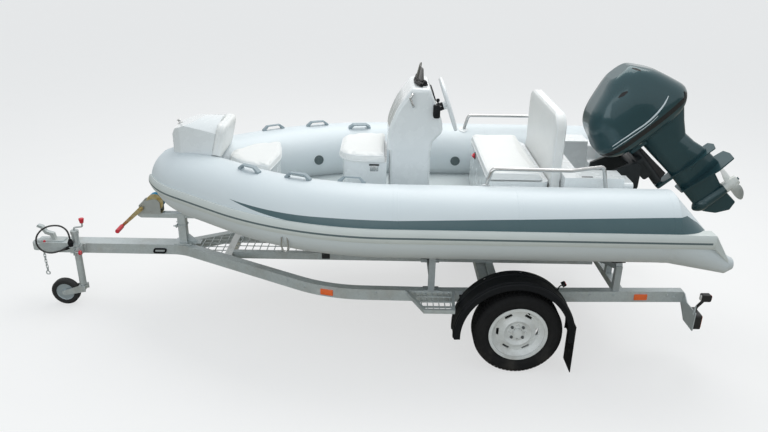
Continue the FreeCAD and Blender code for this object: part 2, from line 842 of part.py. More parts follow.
# Mudguards: a ribbed arch over each tyre with a turned-down lip, a flap behind it and two brackets.
def mudguard():
    centre = V(station(s.guard_ahead), 0, wheel_z)
    inner = s.guard_radius
    wall = s.guard_wall
    outer = inner + wall
    rib = outer + s.guard_rib
    y_low, y_high = s.guard_inner, s.guard_outer
    start, sweep = -3, 188
    corners = [(inner - 12, y_low), (outer, y_low), (outer, y_low + 30), (rib, y_low + 36), (rib, y_low + 58),
               (outer, y_low + 64), (outer, y_high - 52), (rib, y_high - 46), (rib, y_high - 24), (outer, y_high - 18),
               (outer, y_high - 6), (outer - 6, y_high), (inner - s.guard_lip, y_high),
               (inner - s.guard_lip, y_high - wall), (inner, y_high - wall), (inner, y_low + wall),
               (inner - 12, y_low + wall)]
    face = Part.Face(Part.makePolygon([V(r, y, 0) for r, y in corners + corners[:1]]))
    face.rotate(V(0, 0, 0), V(0, 1, 0), -start)
    arch = face.revolve(V(0, 0, 0), V(0, 1, 0), -sweep)
    arch.translate(centre)
    flap = Part.makeBox(wall, y_high - y_low - 24, 330, V(centre.x - outer - 4, y_low + 12, 26))
    whole = arch.fuse(flap)
    foot = s.guard_foot
    for ahead in (335, -300):
        x = station(ahead)
        y_rail = rail_y(x) - 10
        shelf = Part.makeBox(40, y_low + wall - y_rail, 6, V(x - 20, y_rail, foot))
        post = Part.makeBox(40, wall, 150, V(x - 20, y_low, foot))
        web = plate([(x - 3, y_low, foot + 6), (x - 3, y_low - 24, foot + 6), (x - 3, y_low, foot + 60)], (1, 0, 0), 6)
        bracket = shelf.fuse([post, web]).common(Part.makeCylinder(float(outer), 1200, centre, V(0, 1, 0)))
        whole = whole.fuse(bracket)
    return grown_cut(whole, port_rail_space)


pair("mudguards", mudguard())


# Posts, arms and pads that hold the boat, cut to the hull when that is made.
def square_arm(start, end):
    """A square bar from one place to another, upright in section."""
    start, end = V(*start), V(*end)
    way = end - start
    half = s.post_tube / 2
    side = V(1, 0, 0) if abs(way.normalize().x) < 0.5 else V(0, 1, 0)
    up = way.cross(side)
    corners = [start + side * (a * half) + up * (b * half) for a, b in ((1, 1), (1, -1), (-1, -1), (-1, 1))]
    return Part.Face(Part.makePolygon(corners + corners[:1])).extrude(end - start)


dead_rise = math.atan2(s.chine_z - s.keel_z, s.chine_y)


def hull_low(y):
    """Height of the hull's bottom beside the cockpit."""
    return s.keel_z + y * math.tan(dead_rise)


def sloped_pad(x_low, x_high, y_in, y_out, thick):
    """A pad that lies along the hull's bottom."""
    drop = s.seat_gap / math.cos(dead_rise)
    corners = [(x_low, y_in, hull_low(y_in) - drop), (x_low, y_out, hull_low(y_out) - drop)]
    down = V(0, math.sin(dead_rise), -math.cos(dead_rise)) * float(thick)
    high = [V(*corner) for corner in corners]
    points = high + [high[1] + down, high[0] + down]
    made = Part.Face(Part.makePolygon(points + points[:1])).extrude(V(x_high - x_low, 0, 0))
    return made.makeFillet(8, [item for item in made.Edges if along("x")(item)])


bunk_pad = sloped_pad(station(s.bunk_rear), station(s.bunk_front), s.bunk_y - s.bunk_wide / 2,
                      s.bunk_y + s.bunk_wide / 2, s.bunk_thick)
bolster_pad = sloped_pad(station(s.bolster) - s.bolster_wide / 2, station(s.bolster) + s.bolster_wide / 2,
                         s.bolster_in, s.bolster_out, s.bunk_thick)
rest_z = hull_low(s.keel_beam_y - s.keel_beam_wide / 2)
rest_pad = sloped_pad(station(s.rest) - s.rest_long / 2, station(s.rest) + s.rest_long / 2,
                      s.keel_beam_y - s.keel_beam_wide / 2, s.keel_beam_y + s.keel_beam_wide / 2, s.bunk_thick / 2)


def bunk_brackets():
    rail_seat = s.rail_top + s.seat_gap
    x = station(s.bunk_post)
    tube = s.post_tube
    under = (s.bunk_thick + s.seat_gap) / math.cos(dead_rise) + tube / 2 / math.cos(dead_rise)
    post = Part.makeBox(tube, tube, s.post_top - rail_seat, V(x - tube / 2, s.post_y - tube / 2, rail_seat))
    foot = Part.makeBox(100, s.rail_wide, 6, V(x - 50, rail_y(x) - s.rail_wide / 2, rail_seat))
    bunk_low = hull_low(s.bunk_y) - under - 2
    arm = Part.makeBox(tube, s.post_y - s.bunk_y + s.bunk_wide / 4, tube - 6,
                       V(x - tube / 2, s.bunk_y - s.bunk_wide / 4, bunk_low - tube / 2))
    cradle = Part.makeBox(120, s.bunk_wide - 15, 60, V(x - 60, s.bunk_y - s.bunk_wide / 2 + 7, bunk_low - 10))
    side_bunk = post.fuse([foot, arm, cradle.cut(Part.makeBox(160, 60, 200, V(x - 80, s.bunk_y - 30, bunk_low + 13)))])
    bolster_x = station(s.bolster)
    inner = V(bolster_x, s.bolster_in - 60, hull_low(s.bolster_in - 60) - under - 0.5)
    outer = V(bolster_x, s.bolster_out + 20, hull_low(s.bolster_out + 20) - under - 0.5)
    rear_post_x = bolster_x - tube / 2
    out_post = Part.makeBox(tube, tube, outer.z - rail_seat, V(rear_post_x, rail_y(bolster_x) - tube / 2, rail_seat))
    beam_x = station(s.rear_beam)
    low_post = Part.makeBox(tube, tube, inner.z - under_top - s.seat_gap + 8,
                            V(beam_x - tube / 2 + 4, s.bolster_in - 60, under_top + s.seat_gap))
    tie = Part.makeBox(bolster_x - beam_x, tube, tube, V(beam_x, s.bolster_in - 60, inner.z - tube / 2 - 6))
    bolster = square_arm(tuple(inner), tuple(outer)).fuse([out_post, low_post, tie])
    rest_x = station(s.rest)
    half = s.rest_long / 2
    wide = s.keel_beam_wide
    y_in = s.keel_beam_y - wide / 2
    saddle = Part.makeBox(2 * half, wide + 5, rest_z - rail_seat + 40, V(rest_x - half, y_in, keel_beam_low + 10))
    saddle = saddle.cut(Part.makeBox(2 * half + 2, wide + 2 * s.seat_gap, s.keel_beam_tall,
                                     V(rest_x - half - 1, y_in - s.seat_gap, rail_seat - s.keel_beam_tall)))
    saddle = saddle.cut(Part.makeBox(2 * half + 2, wide - 4, 200, V(rest_x - half - 1, y_in + 2, rail_seat + 6)))
    clear = [item.copy() for item in (bunk_pad, bolster_pad, rest_pad)]
    for item in clear:
        item.translate(V(0, 0, -float(s.seat_gap)))
    whole = [side_bunk, bolster, saddle]
    for item in clear + [bunk_pad, bolster_pad, rest_pad]:
        whole = [piece.cut(item) for piece in whole]
    whole = [max(piece.cut(port_rail_space.common(Part.makeBox(9000, 9000, s.rail_tall, V(-4500, -4500, rail_low)))).Solids,
                 key=lambda item: item.Volume) for piece in whole]
    return whole




# Rear lamps: a plate at each rail's end, its lamp box, and a marker on a rubber stalk.
def rear_lamp():
    x = port_rail_shape.BoundBox.XMin - s.seat_gap
    thick = s.lamp_plate
    y_in = s.rail_rear_y - s.rail_wide / 2 + 6
    low, tall = s.lamp_low, s.lamp_tall
    y_out = s.lamp_in + s.lamp_wide
    corners = [(x, y_in, rail_low + 12), (x, y_in, s.rail_top - 6), (x, y_in + 60, s.rail_top - 6),
               (x, s.lamp_in - 10, low + tall + 22), (x, y_out + 6, low + tall + 22), (x, y_out + 6, low - 6),
               (x, s.lamp_in - 10, low - 6)]
    board = plate(corners, (-1, 0, 0), thick, 5)
    lamp = Part.makeBox(s.lamp_deep, s.lamp_wide, tall, V(x - thick - s.lamp_deep, s.lamp_in, low))
    lamp = lamp.makeFillet(12, [item for item in lamp.Edges if along("x")(item)])
    lamp = lamp.makeFillet(5, [item for item in lamp.Edges if item.BoundBox.XMax < x - thick - s.lamp_deep + 0.1])
    stalk_y = y_out - 20
    stalk = round_bar([(x - thick / 2, stalk_y, low + tall), (x - thick / 2 - 6, stalk_y, low + tall + 50),
                       (x - 40, stalk_y + 22, s.stalk_top)], s.stalk_radius, 60)
    marker = Part.makeBox(60, 34, 44, V(x - 70, stalk_y + 8, s.stalk_top - 8))
    marker = marker.makeFillet(10, [item for item in marker.Edges if along("y")(item)])
    return board.fuse([lamp, stalk, marker])


pair("rear_lamps", rear_lamp())

# Coupling head with its ball socket, and the jockey wheel on its clamp.
def coupling():
    z_low = rail_low + 8
    nose = station(s.coupling_nose)
    front = station(s.rail_front) + s.seat_gap
    half = s.coupling_wide / 2
    rear = station(s.rail_front) - 150
    wall = s.coupling_wall
    socket_x = nose - s.ball_back
    head = Part.makeCylinder(half + wall - 2, float(s.coupling_tall), V(socket_x, 0, z_low))
    head = head.makeFillet(16, [item for item in head.Edges if item.BoundBox.ZMin > z_low + s.coupling_tall - 1])
    neck = plate([(front, -half, z_low + 4), (front, half, z_low + 4), (socket_x, half - 8, z_low + 4),
                  (socket_x, -half + 8, z_low + 4)], (0, 0, 1), s.coupling_tall - wall)
    riser = Part.makeBox(60, 2 * half, s.rail_top + wall - z_low - 10, V(front, -half, z_low + 10))
    riser = riser.makeChamfer(20, [item for item in riser.Edges if along("y")(item)
                                   and item.BoundBox.ZMin > s.rail_top and item.BoundBox.XMin > front + 50])
    lid = Part.makeBox(front + 10 - rear, 2 * half, wall, V(rear, -half, s.rail_top + s.seat_gap))
    lid = lid.makeFillet(14, [item for item in lid.Edges if along("z")(item) and item.BoundBox.XMax < rear + 1])
    whole = head.fuse([neck, riser, lid])
    bore = Part.makeCylinder(float(s.ball_socket), 34, V(socket_x, 0, z_low))
    dome = Part.makeSphere(float(s.ball_socket), V(socket_x, 0, z_low + 28))
    return whole.cut(bore.fuse(dome))


feature("coupling", coupling())


def coupling_handle():
    """The bent release handle: a grip on two cheeks."""
    nose = station(s.coupling_nose)
    z_low = s.rail_top + s.coupling_wall + 2 * s.seat_gap
    blade = [(nose - 175, z_low), (nose - 166, z_low + 46), (nose - 118, z_low + 60), (nose - 96, z_low + 100),
             (nose - 62, z_low + 112), (nose - 52, z_low + 96), (nose - 80, z_low + 84), (nose - 104, z_low + 42),
             (nose - 140, z_low + 30), (nose - 148, z_low)]
    made = plate([(x, -15, z) for x, z in blade], (0, 1, 0), 30)
    return made.makeFillet(5, [item for item in made.Edges if along("y")(item) and item.BoundBox.ZMin > z_low + 5])


feature("coupling_handle", coupling_handle())

jockey_x = station(s.jockey_ahead)
jockey_wheel_x = jockey_x + s.jockey_trail
jockey_z = s.jockey_wheel_radius
clamp_low = s.rail_top - 66


def jockey_clamp():
    """Bracket on the drawbar, split collar with its tightening lug, and the plug's parking arm."""
    rail_side = s.rail_wide + 2 * s.seat_gap
    tall = 62
    base = Part.makeBox(58, s.jockey_y - rail_side, tall, V(jockey_x - 29, rail_side, clamp_low))
    base = base.makeChamfer(12, [item for item in base.Edges if along("x")(item) and item.BoundBox.YMin > rail_side + 10])
    flange = Part.makeBox(96, 7, tall + 8, V(jockey_x - 48, rail_side, clamp_low - 4))
    flange = flange.makeFillet(9, [item for item in flange.Edges if along("y")(item)])
    collar = Part.makeCylinder(s.jockey_tube + 7, tall, V(jockey_x, s.jockey_y, clamp_low))
    lug = Part.makeBox(16, 40, 34, V(jockey_x - 8, s.jockey_y + 14, clamp_low + 14))
    split = Part.makeBox(4, 80, tall + 2, V(jockey_x - 2, s.jockey_y, clamp_low - 1))
    screw = Part.makeCylinder(5, 62, V(jockey_x - 31, s.jockey_y + 42, clamp_low + 31), V(1, 0, 0))
    knob = Part.makeCylinder(15, 14, V(jockey_x - 44, s.jockey_y + 42, clamp_low + 31), V(1, 0, 0))
    whole = base.fuse([flange, collar, lug]).cut(split).fuse([screw, knob])
    ring_low = plug_low - s.seat_gap - 8
    band = Part.makeCylinder(s.jockey_tube + 5, 16, V(jockey_x, s.jockey_y, ring_low - 8))
    plug_x, plug_y = station(cable_points[-1][0]), cable_points[-1][1]
    arm = Part.makeBox(30, plug_y - s.jockey_y + 14, 8, V(plug_x - 18, s.jockey_y, ring_low))
    arm = arm.makeFillet(8, [item for item in arm.Edges if along("z")(item) and item.BoundBox.YMin > plug_y])
    bore = Part.makeCylinder(s.jockey_tube + s.seat_gap, 400, V(jockey_x, s.jockey_y, clamp_low - 20))
    return Part.makeCompound([max(whole.cut(bore).Solids, key=lambda item: item.Volume),
                              max(band.fuse(arm).cut(bore).Solids, key=lambda item: item.Volume)])


# The lighting cable: from its gland on the drawbar, round in a free loop, to the plug parked beside the jockey tube.
cable_radius = 6
plug_radius = 19
plug_long = 52
cable_points = [  # ahead of the axle, to port, above the ground
    (3112, 70, 428), (3170, 76, 404), (3232, 88, 396), (3284, 100, 428), (3302, 108, 484), (3284, 117, 544),
    (3240, 127, 594), (3188, 135, 626), (3134, 142, 640), (3078, 147, 638), (3034, 150, 597), (3034, 150, 538),
]
plug_low = cable_points[-1][2] - plug_long


def cable():
    points = [V(station(ahead), y, z) for ahead, y, z in cable_points]
    bends = []
    for before, here, after in zip(points, points[1:], points[2:]):
        runs = (here - before).Length, (after - here).Length
        turn = (here - before).getAngle(after - here)
        bends.append(0.45 * min(runs) / math.tan(turn / 2))
    print("cable radii", [round(bend) for bend in bends])
    edges = path_edges(points, bends)
    made = Part.Wire(edges).makePipeShell(
        [Part.Wire([Part.Circle(points[0], points[1] - points[0], cable_radius).toShape()])], True, False)
    long = sum(edge.Length for edge in edges)
    print("cable", round(long), "mm, volume against section times length",
          round(made.Volume / (math.pi * cable_radius ** 2 * long), 4))
    return made


def cable_gland():
    """The clip that holds the cable's end against the drawbar."""
    start = V(station(cable_points[0][0]), cable_points[0][1], cable_points[0][2])
    way = V(station(cable_points[1][0]), cable_points[1][1], cable_points[1][2]) - start
    way.normalize()
    barrel = Part.makeCylinder(11, 24, start - way * 24, way)
    side = s.rail_wide + 2 * s.seat_gap
    pad_part = Part.makeBox(16, start.y - side, 16, V(start.x - 21, side, start.z - 4))
    return barrel.fuse(pad_part).cut(Part.makeBox(200, side, 200, V(start.x - 100, 0, start.z - 100)))


def cable_plug():
    """Round plug with a ribbed cap and a stepped collar, standing on its parking arm."""
    x = station(cable_points[-1][0])
    y = cable_points[-1][1]
    profile = [(0, plug_low), (plug_radius - 3, plug_low), (plug_radius - 3, plug_low + 16), (plug_radius, plug_low + 16),
               (plug_radius, plug_low + 34), (12, plug_low + 46), (12, plug_low + plug_long), (0, plug_low + plug_long)]
    face = Part.Face(Part.makePolygon([V(r, 0, z) for r, z in profile + profile[:1]]))
    made = face.revolve(V(0, 0, 0), V(0, 0, 1), 360)
    made.translate(V(x, y, 0))
    return made


feature("jockey_clamp", jockey_clamp())
feature("trailer_cable", cable())
feature("cable_plug", cable_plug())
feature("cable_gland", cable_gland())


def jockey_tube():
    tall = s.jockey_tube_top - s.jockey_tube_foot
    x, y, top = jockey_x, s.jockey_y, s.jockey_tube_top
    whole = Part.makeCylinder(float(s.jockey_tube), tall, V(x, y, s.jockey_tube_foot))
    head = Part.makeCylinder(s.jockey_tube + 4, 26, V(x, y, top - 20))
    head = head.makeFillet(5, [item for item in head.Edges if item.BoundBox.ZMin > top])
    crank = round_bar([(x, y, top), (x, y, top + 26), (x - 62, y, top + 34), (x - 62, y, top + 62)], 6, 12)
    knob = Part.makeCone(11, 17, 34, V(x - 62, y, top + 62))
    knob = knob.makeFillet(5, [item for item in knob.Edges if item.BoundBox.ZMin > top + 90])
    whole = whole.fuse([head, crank, knob])
    bore = Part.makeCylinder(s.jockey_stem + s.pin_gap, 240, V(x, y, s.jockey_tube_foot - 1))
    return whole.cut(bore)


feature("jockey_tube", jockey_tube())


def jockey_fork():
    """The inner tube, its foot, and two blades that reach forward to the wheel's pin."""
    foot_top = s.jockey_tube_foot - s.run_gap
    x, y = jockey_x, s.jockey_y
    stem = Part.makeCylinder(float(s.jockey_stem), s.jockey_tube_foot + 200 - foot_top + 20, V(x, y, foot_top - 20))
    half = s.jockey_wheel_wide / 2 + 7
    blade = s.fork_plate
    foot = Part.makeBox(2 * s.jockey_tube, 2 * half + 2 * blade, 30, V(x - s.jockey_tube, y - half - blade, foot_top - 30))
    foot = foot.makeFillet(6, [item for item in foot.Edges if along("z")(item)])
    whole = stem.fuse(foot)
    for side_y in (y + half, y - half - blade):
        arm = plate([(x - s.jockey_tube, side_y, foot_top), (x + s.jockey_tube, side_y, foot_top),
                     (jockey_wheel_x + 4, side_y, jockey_z + 17), (jockey_wheel_x + 18, side_y, jockey_z + 4),
                     (jockey_wheel_x + 14, side_y, jockey_z - 14), (jockey_wheel_x - 8, side_y, jockey_z - 18),
                     (x - s.jockey_tube, side_y, foot_top - 44)], (0, 1, 0), blade)
        arm = arm.makeFillet(6, [item for item in arm.Edges if along("y")(item) and item.BoundBox.XMin > x])
        whole = whole.fuse(arm)
    pin = Part.makeCylinder(float(s.jockey_pin), 2 * half + 2 * blade + 12,
                            V(jockey_wheel_x, y - half - blade - 6, jockey_z), V(0, 1, 0))
    return whole.fuse(pin)


feature("jockey_fork", jockey_fork())


def jockey_wheel():
    made = body("jockey_wheel")
    half = s.jockey_wheel_wide / 2
    top = s.jockey_wheel_radius
    bore = s.jockey_pin + s.pin_gap
    profile = [(-half - 5, bore), (-half - 5, 18), (-half + 8, 24), (-half + 8, top - 40), (-half, top - 32),
               (-half, top - 10), (-half + 8, top), (half - 8, top), (half, top - 10), (half, top - 32),
               (half - 8, top - 40), (half - 8, 24), (half + 5, 18), (half + 5, bore)]
    revolved(made, outline(made, "YZ_Plane", profile))
    place(made, jockey_wheel_x, s.jockey_y, jockey_z)
    return keep(made, "jockey_wheel")


jockey_wheel()


# Winch post with its arm, the winch, and the strap from its spool to the bow eye.
def winch_post():
    side = s.winch_post_tube
    x = station(s.winch_post)
    low = s.rail_top + s.seat_gap
    top = s.winch_arm_top
    post = Part.makeBox(side, side, top - low, V(x - side / 2, -side / 2, low))
    post = post.makeFillet(6, [item for item in post.Edges if along("z")(item)])
    foot = Part.makeBox(130, 2 * s.rail_wide, 8, V(x - 65, -s.rail_wide, low))
    foot = foot.makeFillet(10, [item for item in foot.Edges if along("z")(item)])
    gusset = plate([(x - side / 2 + 2, -3, low + 76), (x - side / 2 + 2, -3, low), (x - 100, -3, low), (x - 100, -3, low + 10)],
                   (0, 1, 0), 6)
    rear_foot = Part.makeBox(60, 60, 8, V(x - 125, -30, low))
    arm_half = s.strap_wide / 2
    front, rear = station(s.winch_arm_front), station(s.winch_arm_rear)
    arm = plate([(rear, -arm_half, top - s.winch_arm_tall), (rear, -arm_half, top), (front, -arm_half, top),
                 (front, -arm_half, top - s.winch_arm_tall + 16), (front - 24, -arm_half, top - s.winch_arm_tall)],
                (0, 1, 0), 2 * arm_half)
    arm = arm.makeFillet(5, [item for item in arm.Edges if along("x")(item) and item.Length > 200])
    return post.fuse([foot, gusset, rear_foot, arm])


feature("winch_post", winch_post())

winch_x = station(s.winch_drum_ahead)
pinion_x = winch_x + 92
pinion_z = s.winch_drum_up - 40


def winch():
    """Bent steel frame, spool between two flanges, toothed gear, pinion shaft."""
    half = s.winch_wide / 2
    cheek = s.winch_cheek
    low = s.winch_arm_top + s.seat_gap
    base = Part.makeBox(150, 2 * half, cheek, V(winch_x - 36, -half, low))
    whole = base
    for y in (-half, half - cheek):
        side = plate([(winch_x - 36, y, low), (winch_x + 114, y, low), (winch_x + 114, y, low + 62),
                      (winch_x + 88, y, low + 88), (winch_x + 20, y, s.winch_drum_up + 24),
                      (winch_x - 18, y, s.winch_drum_up + 24), (winch_x - 36, y, s.winch_drum_up)], (0, 1, 0), cheek, 7)
        whole = whole.fuse(side)
    z = s.winch_drum_up

    def turned(radius, y, long, x=winch_x, up=z):
        return Part.makeCylinder(float(radius), float(long), V(x, y, up), V(0, 1, 0))
    spool = turned(s.winch_spool, -half, 2 * half)
    inner = s.strap_wide / 2 + s.seat_gap
    flanges = [turned(s.winch_flange, inner, 3), turned(s.winch_flange - 8, -inner - 3, 3)]
    gear = turned(s.winch_flange, inner + 3, 7)
    teeth = 36
    notch = Part.makeCylinder(3, 30, V(winch_x + s.winch_flange, inner - 4, z), V(0, 1, 0))
    notches = []
    for at in range(teeth):
        one = notch.copy()
        one.rotate(V(winch_x, 0, z), V(0, 1, 0), at * 360 / teeth)
        notches.append(one)
    gear = gear.fuse(flanges[0]).cut(Part.makeCompound(notches))
    shaft = turned(s.winch_shaft, -half - 6, 2 * half + 40, pinion_x, pinion_z)
    pinion = turned(22, inner + 3, 8, pinion_x, pinion_z)
    return whole.fuse([spool, gear, flanges[1], shaft, pinion])


def winch_crank():
    x, z = pinion_x, pinion_z
    y = s.winch_wide / 2 + 12
    arm = plate([(x - 13, y, z + 12), (x + 12, y, z + 12), (x + 158, y, z - 128), (x + 144, y, z - 142),
                 (x - 13, y, z - 8)], (0, 1, 0), 6, 5)
    arm = arm.cut(Part.makeCylinder(s.winch_shaft + s.seat_gap, 40, V(x, y - 10, z), V(0, 1, 0)))
    grip = Part.makeCylinder(13, 96, V(x + 146, y + 6 + 8, z - 130), V(0, 1, 0))
    grip = grip.makeFillet(6, list(grip.Edges)[:1] + [item for item in grip.Edges if item.BoundBox.YMin > y + 50])
    stub = Part.makeCylinder(6, 30, V(x + 146, y, z - 130), V(0, 1, 0))
    return arm.fuse([grip, stub])


feature("winch", Part.makeCompound([winch(), winch_crank()]))

# The inflated collar.
def collar_line():
    """The collar's plan line from the stern to the bow: the ends of its runs, and its two centres."""
    turn_one = math.radians(s.shoulder_turn)
    turn_two = math.radians(s.shoulder_turn + s.bow_turn)
    p0 = V(station(s.cone_start), s.tube_y, s.tube_z)
    p1 = V(station(s.shoulder_start), s.tube_y, s.tube_z)
    c1 = p1 - V(0, s.shoulder_radius, 0)
    p2 = c1 + V(math.sin(turn_one), math.cos(turn_one), 0) * s.shoulder_radius
    p3 = p2 + V(math.cos(turn_one), -math.sin(turn_one), 0) * s.shoulder_run
    c2 = p3 - V(math.sin(turn_one), math.cos(turn_one), 0) * s.bow_radius
    p4 = c2 + V(math.sin(turn_two), math.cos(turn_two), 0) * s.bow_radius
    way = V(math.cos(turn_two), -math.sin(turn_two), 0)
    p5 = p4 + way * ((p4.y + 40) / math.sin(turn_two))
    return p0, p1, c1, p2, p3, c2, p4, p5


def disc_face(centre, way, radius):
    return Part.Face(Part.Wire([Part.Circle(centre, way, float(radius)).toShape()]))


def collar_half(radius):
    """The port half of the collar as straight runs and bends of one section."""
    p0, p1, c1, p2, p3, c2, p4, p5 = collar_line()
    up = V(0, 0, 1)
    return [
        disc_face(p0, V(1, 0, 0), radius).extrude(p1 - p0),
        disc_face(p1, V(1, 0, 0), radius).revolve(c1, up, -float(s.shoulder_turn)),
        disc_face(p2, p3 - p2, radius).extrude(p3 - p2),
        disc_face(p3, p3 - p2, radius).revolve(c2, up, -float(s.bow_turn)),
        disc_face(p4, p5 - p4, radius).extrude(p5 - p4),
    ]


def stern_cone(grow=0):
    """The oblique cone at the stern: its underside stays level."""
    low = s.tube_z - s.tube_radius + s.cone_tip_radius
    out = s.tube_y + s.tube_radius - s.cone_tip_radius
    rings = []
    for ahead, y, z, radius in ((s.cone_start, s.tube_y, s.tube_z, s.tube_radius),
                                (s.cone_end, out, low, s.cone_tip_radius),
                                (s.cone_tip, out, low, s.cone_tip_radius * 0.6)):
        rings.append(Part.Wire([Part.Circle(V(station(ahead), y, z), V(1, 0, 0), radius + grow).toShape()]))
    return Part.makeLoft(rings[:2], True, True).fuse(Part.makeLoft(rings[1:], True, True))


port_half_space = Part.makeBox(6000, 2000, 2000, V(-3000, 0, 0))


def bow_tube():
    pieces = collar_half(s.tube_radius)[2:]
    half = pieces[0].fuse(pieces[1:]).common(port_half_space)
    return half.fuse(mirrored(half)).removeSplitter()


def collar_seat():
    """What the collar takes out of the pieces that rest on it."""
    pieces = collar_half(s.tube_radius + s.seat_gap)
    half = stern_cone(float(s.seat_gap)).fuse(pieces).common(port_half_space)
    return half.fuse(mirrored(half))


port_tube_shape = stern_cone().fuse(collar_half(s.tube_radius)[:2]).removeSplitter()
pair("side_tubes", port_tube_shape)
feature("bow_tube", bow_tube())
collar_space = collar_seat()


# The rubbing strake: a D-section band round the whole collar.
def strake_half():
    p0, p1, c1, p2, p3, c2, p4, p5 = collar_line()
    out = float(s.strake_reach)
    half = s.strake_tall / 2
    z = s.strake_z
    root = s.tube_radius * 0.7
    up = V(0, 0, 1)

    def section(at, side):
        centre = V(at.x, at.y, z)
        low, high = centre + side * root - up * half, centre + side * root + up * half
        low_out, high_out = centre + side * (out - 12) - up * half, centre + side * (out - 12) + up * half
        wire = Part.Wire([Part.makeLine(high, low), Part.makeLine(low, low_out),
                          Part.Arc(low_out, centre + side * out, high_out).toShape(), Part.makeLine(high_out, high)])
        return Part.Face(wire)

    def side_at(turn):
        return V(math.sin(math.radians(turn)), math.cos(math.radians(turn)), 0)
    start = V(station(s.strake_end), s.tube_y, s.tube_z)
    turn = float(s.shoulder_turn)
    last = turn + float(s.bow_turn)
    pieces = [section(start, side_at(0)).extrude(p1 - start),
              section(p1, side_at(0)).revolve(c1, up, -turn),
              section(p2, side_at(turn)).extrude(p3 - p2),
              section(p3, side_at(turn)).revolve(c2, up, -(last - turn)),
              section(p4, side_at(last)).extrude(p5 - p4)]
    return pieces[0].fuse(pieces[1:]).common(port_half_space)


strake_port = strake_half()
feature("rubbing_strake", strake_port.fuse(mirrored(strake_port)).cut(collar_space).removeSplitter())


def collar_at(ahead, out):
    """A place on top of the port collar, out from its line, with the line's turn there and the roll."""
    turn = 0.0
    line_y = float(s.tube_y)
    past = ahead - s.shoulder_start
    if past > 0:
        turn = min(math.asin(min(1, past / s.shoulder_radius)), math.radians(s.shoulder_turn))
        line_y = s.tube_y - s.shoulder_radius * (1 - math.cos(turn))
    roll = math.asin(out / s.tube_radius)
    return V(station(ahead), line_y + out, s.tube_z + s.tube_radius * math.cos(roll)), turn, roll


# Moulded rubber grab handles along the collar, three a side.
def grab_handle(ahead, out):
    half = s.handle_long / 2
    tall, band, sink = s.handle_tall, s.handle_band, 14
    outer = [(-half, -sink), (-half, 10), (-half + 34, tall), (half - 34, tall), (half, 10), (half, -sink)]
    inner = [(half - 2.6 * band, -sink), (half - 2.6 * band, 7), (half - 42, tall - band), (-half + 42, tall - band),
             (-half + 2.6 * band, 7), (-half + 2.6 * band, -sink)]
    made = plate([(x, -s.handle_wide / 2, z) for x, z in outer + inner], (0, 1, 0), s.handle_wide)
    made = made.makeFillet(3.5, [item for item in made.Edges if item.BoundBox.ZMin > 5 and not along("y")(item)])
    place_at, turn, roll = collar_at(ahead, out)
    made.rotate(V(0, 0, 0), V(1, 0, 0), -math.degrees(roll))
    made.rotate(V(0, 0, 0), V(0, 0, 1), -math.degrees(turn))
    made.translate(place_at)
    return made.cut(collar_space)


handles = []
for ahead, out in ((1678, 20), (1362, -8), (1039, -80)):
    for foot in grab_handle(ahead, out).Solids:
        handles += [foot, mirrored(foot)]
feature("grab_handles", Part.makeCompound(handles))


# The moulded V hull: a ruled loft through a few sections, with its spray rails.
hull_sections = [
    # ahead of the axle, keel height, chine half width, chine height, side half width
    (s.transom_aft + s.transom_thick, s.keel_z, s.chine_y, s.chine_z, s.hull_side),
    (700, s.keel_z, s.chine_y, s.chine_z, s.hull_side),
    (1250, s.keel_z + 12, s.chine_y - 80, s.chine_z + 22, s.hull_side - 80),
    (1750, s.keel_z + 66, s.chine_y - 250, s.chine_z + 72, s.hull_side - 260),
    (2140, s.keel_z + 212, 60, s.chine_z + 132, 120),
    (2236, s.keel_z + 230, 20, s.chine_z + 132, 30),
]


def hull():
    wires = []
    top = s.deck_z - s.deck_thick - s.seat_gap
    for ahead, keel, chine, chine_z, side in hull_sections:
        x = station(ahead)
        points = [V(x, 0, keel), V(x, chine, chine_z), V(x, side, chine_z + 60), V(x, side, max(top, chine_z + 61)),
                  V(x, -side, max(top, chine_z + 61)), V(x, -side, chine_z + 60), V(x, -chine, chine_z), V(x, 0, keel)]
        wires.append(Part.makePolygon(points))
    shell = Part.makeLoft(wires, True, True)
    deck_space = Part.makeBox(5000, 2000, 400, V(-3000, -1000, top))
    return grown_cut(shell.cut(deck_space), collar_space)


hull_shape = hull()
feature("hull", hull_shape)


def bow_eye():
    """The towing eye under the stem: a pad against the hull and a bored lug."""
    x = station(s.eye_ahead)
    z = s.keel_z + s.eye_rise
    lug = Part.makeBox(44, float(s.eye_thick), 70, V(x - 22, -s.eye_thick / 2, z - 14))
    lug = lug.makeFillet(13, [item for item in lug.Edges if along("y")(item) and item.BoundBox.ZMax < z])
    lug = lug.cut(Part.makeCylinder(float(s.eye_bore), 100, V(x, -50, z), V(0, 1, 0)))
    space = hull_shape.copy()
    space.translate(V(0, 0, -float(s.seat_gap)))
    above = Part.makeBox(400, 400, 200, V(x - 200, -200, s.keel_z + 236))
    return grown_cut(lug, space.fuse([hull_shape, above, collar_space]))


feature("bow_eye", bow_eye())
eye_x = station(s.eye_ahead)
eye_z = s.keel_z + s.eye_rise


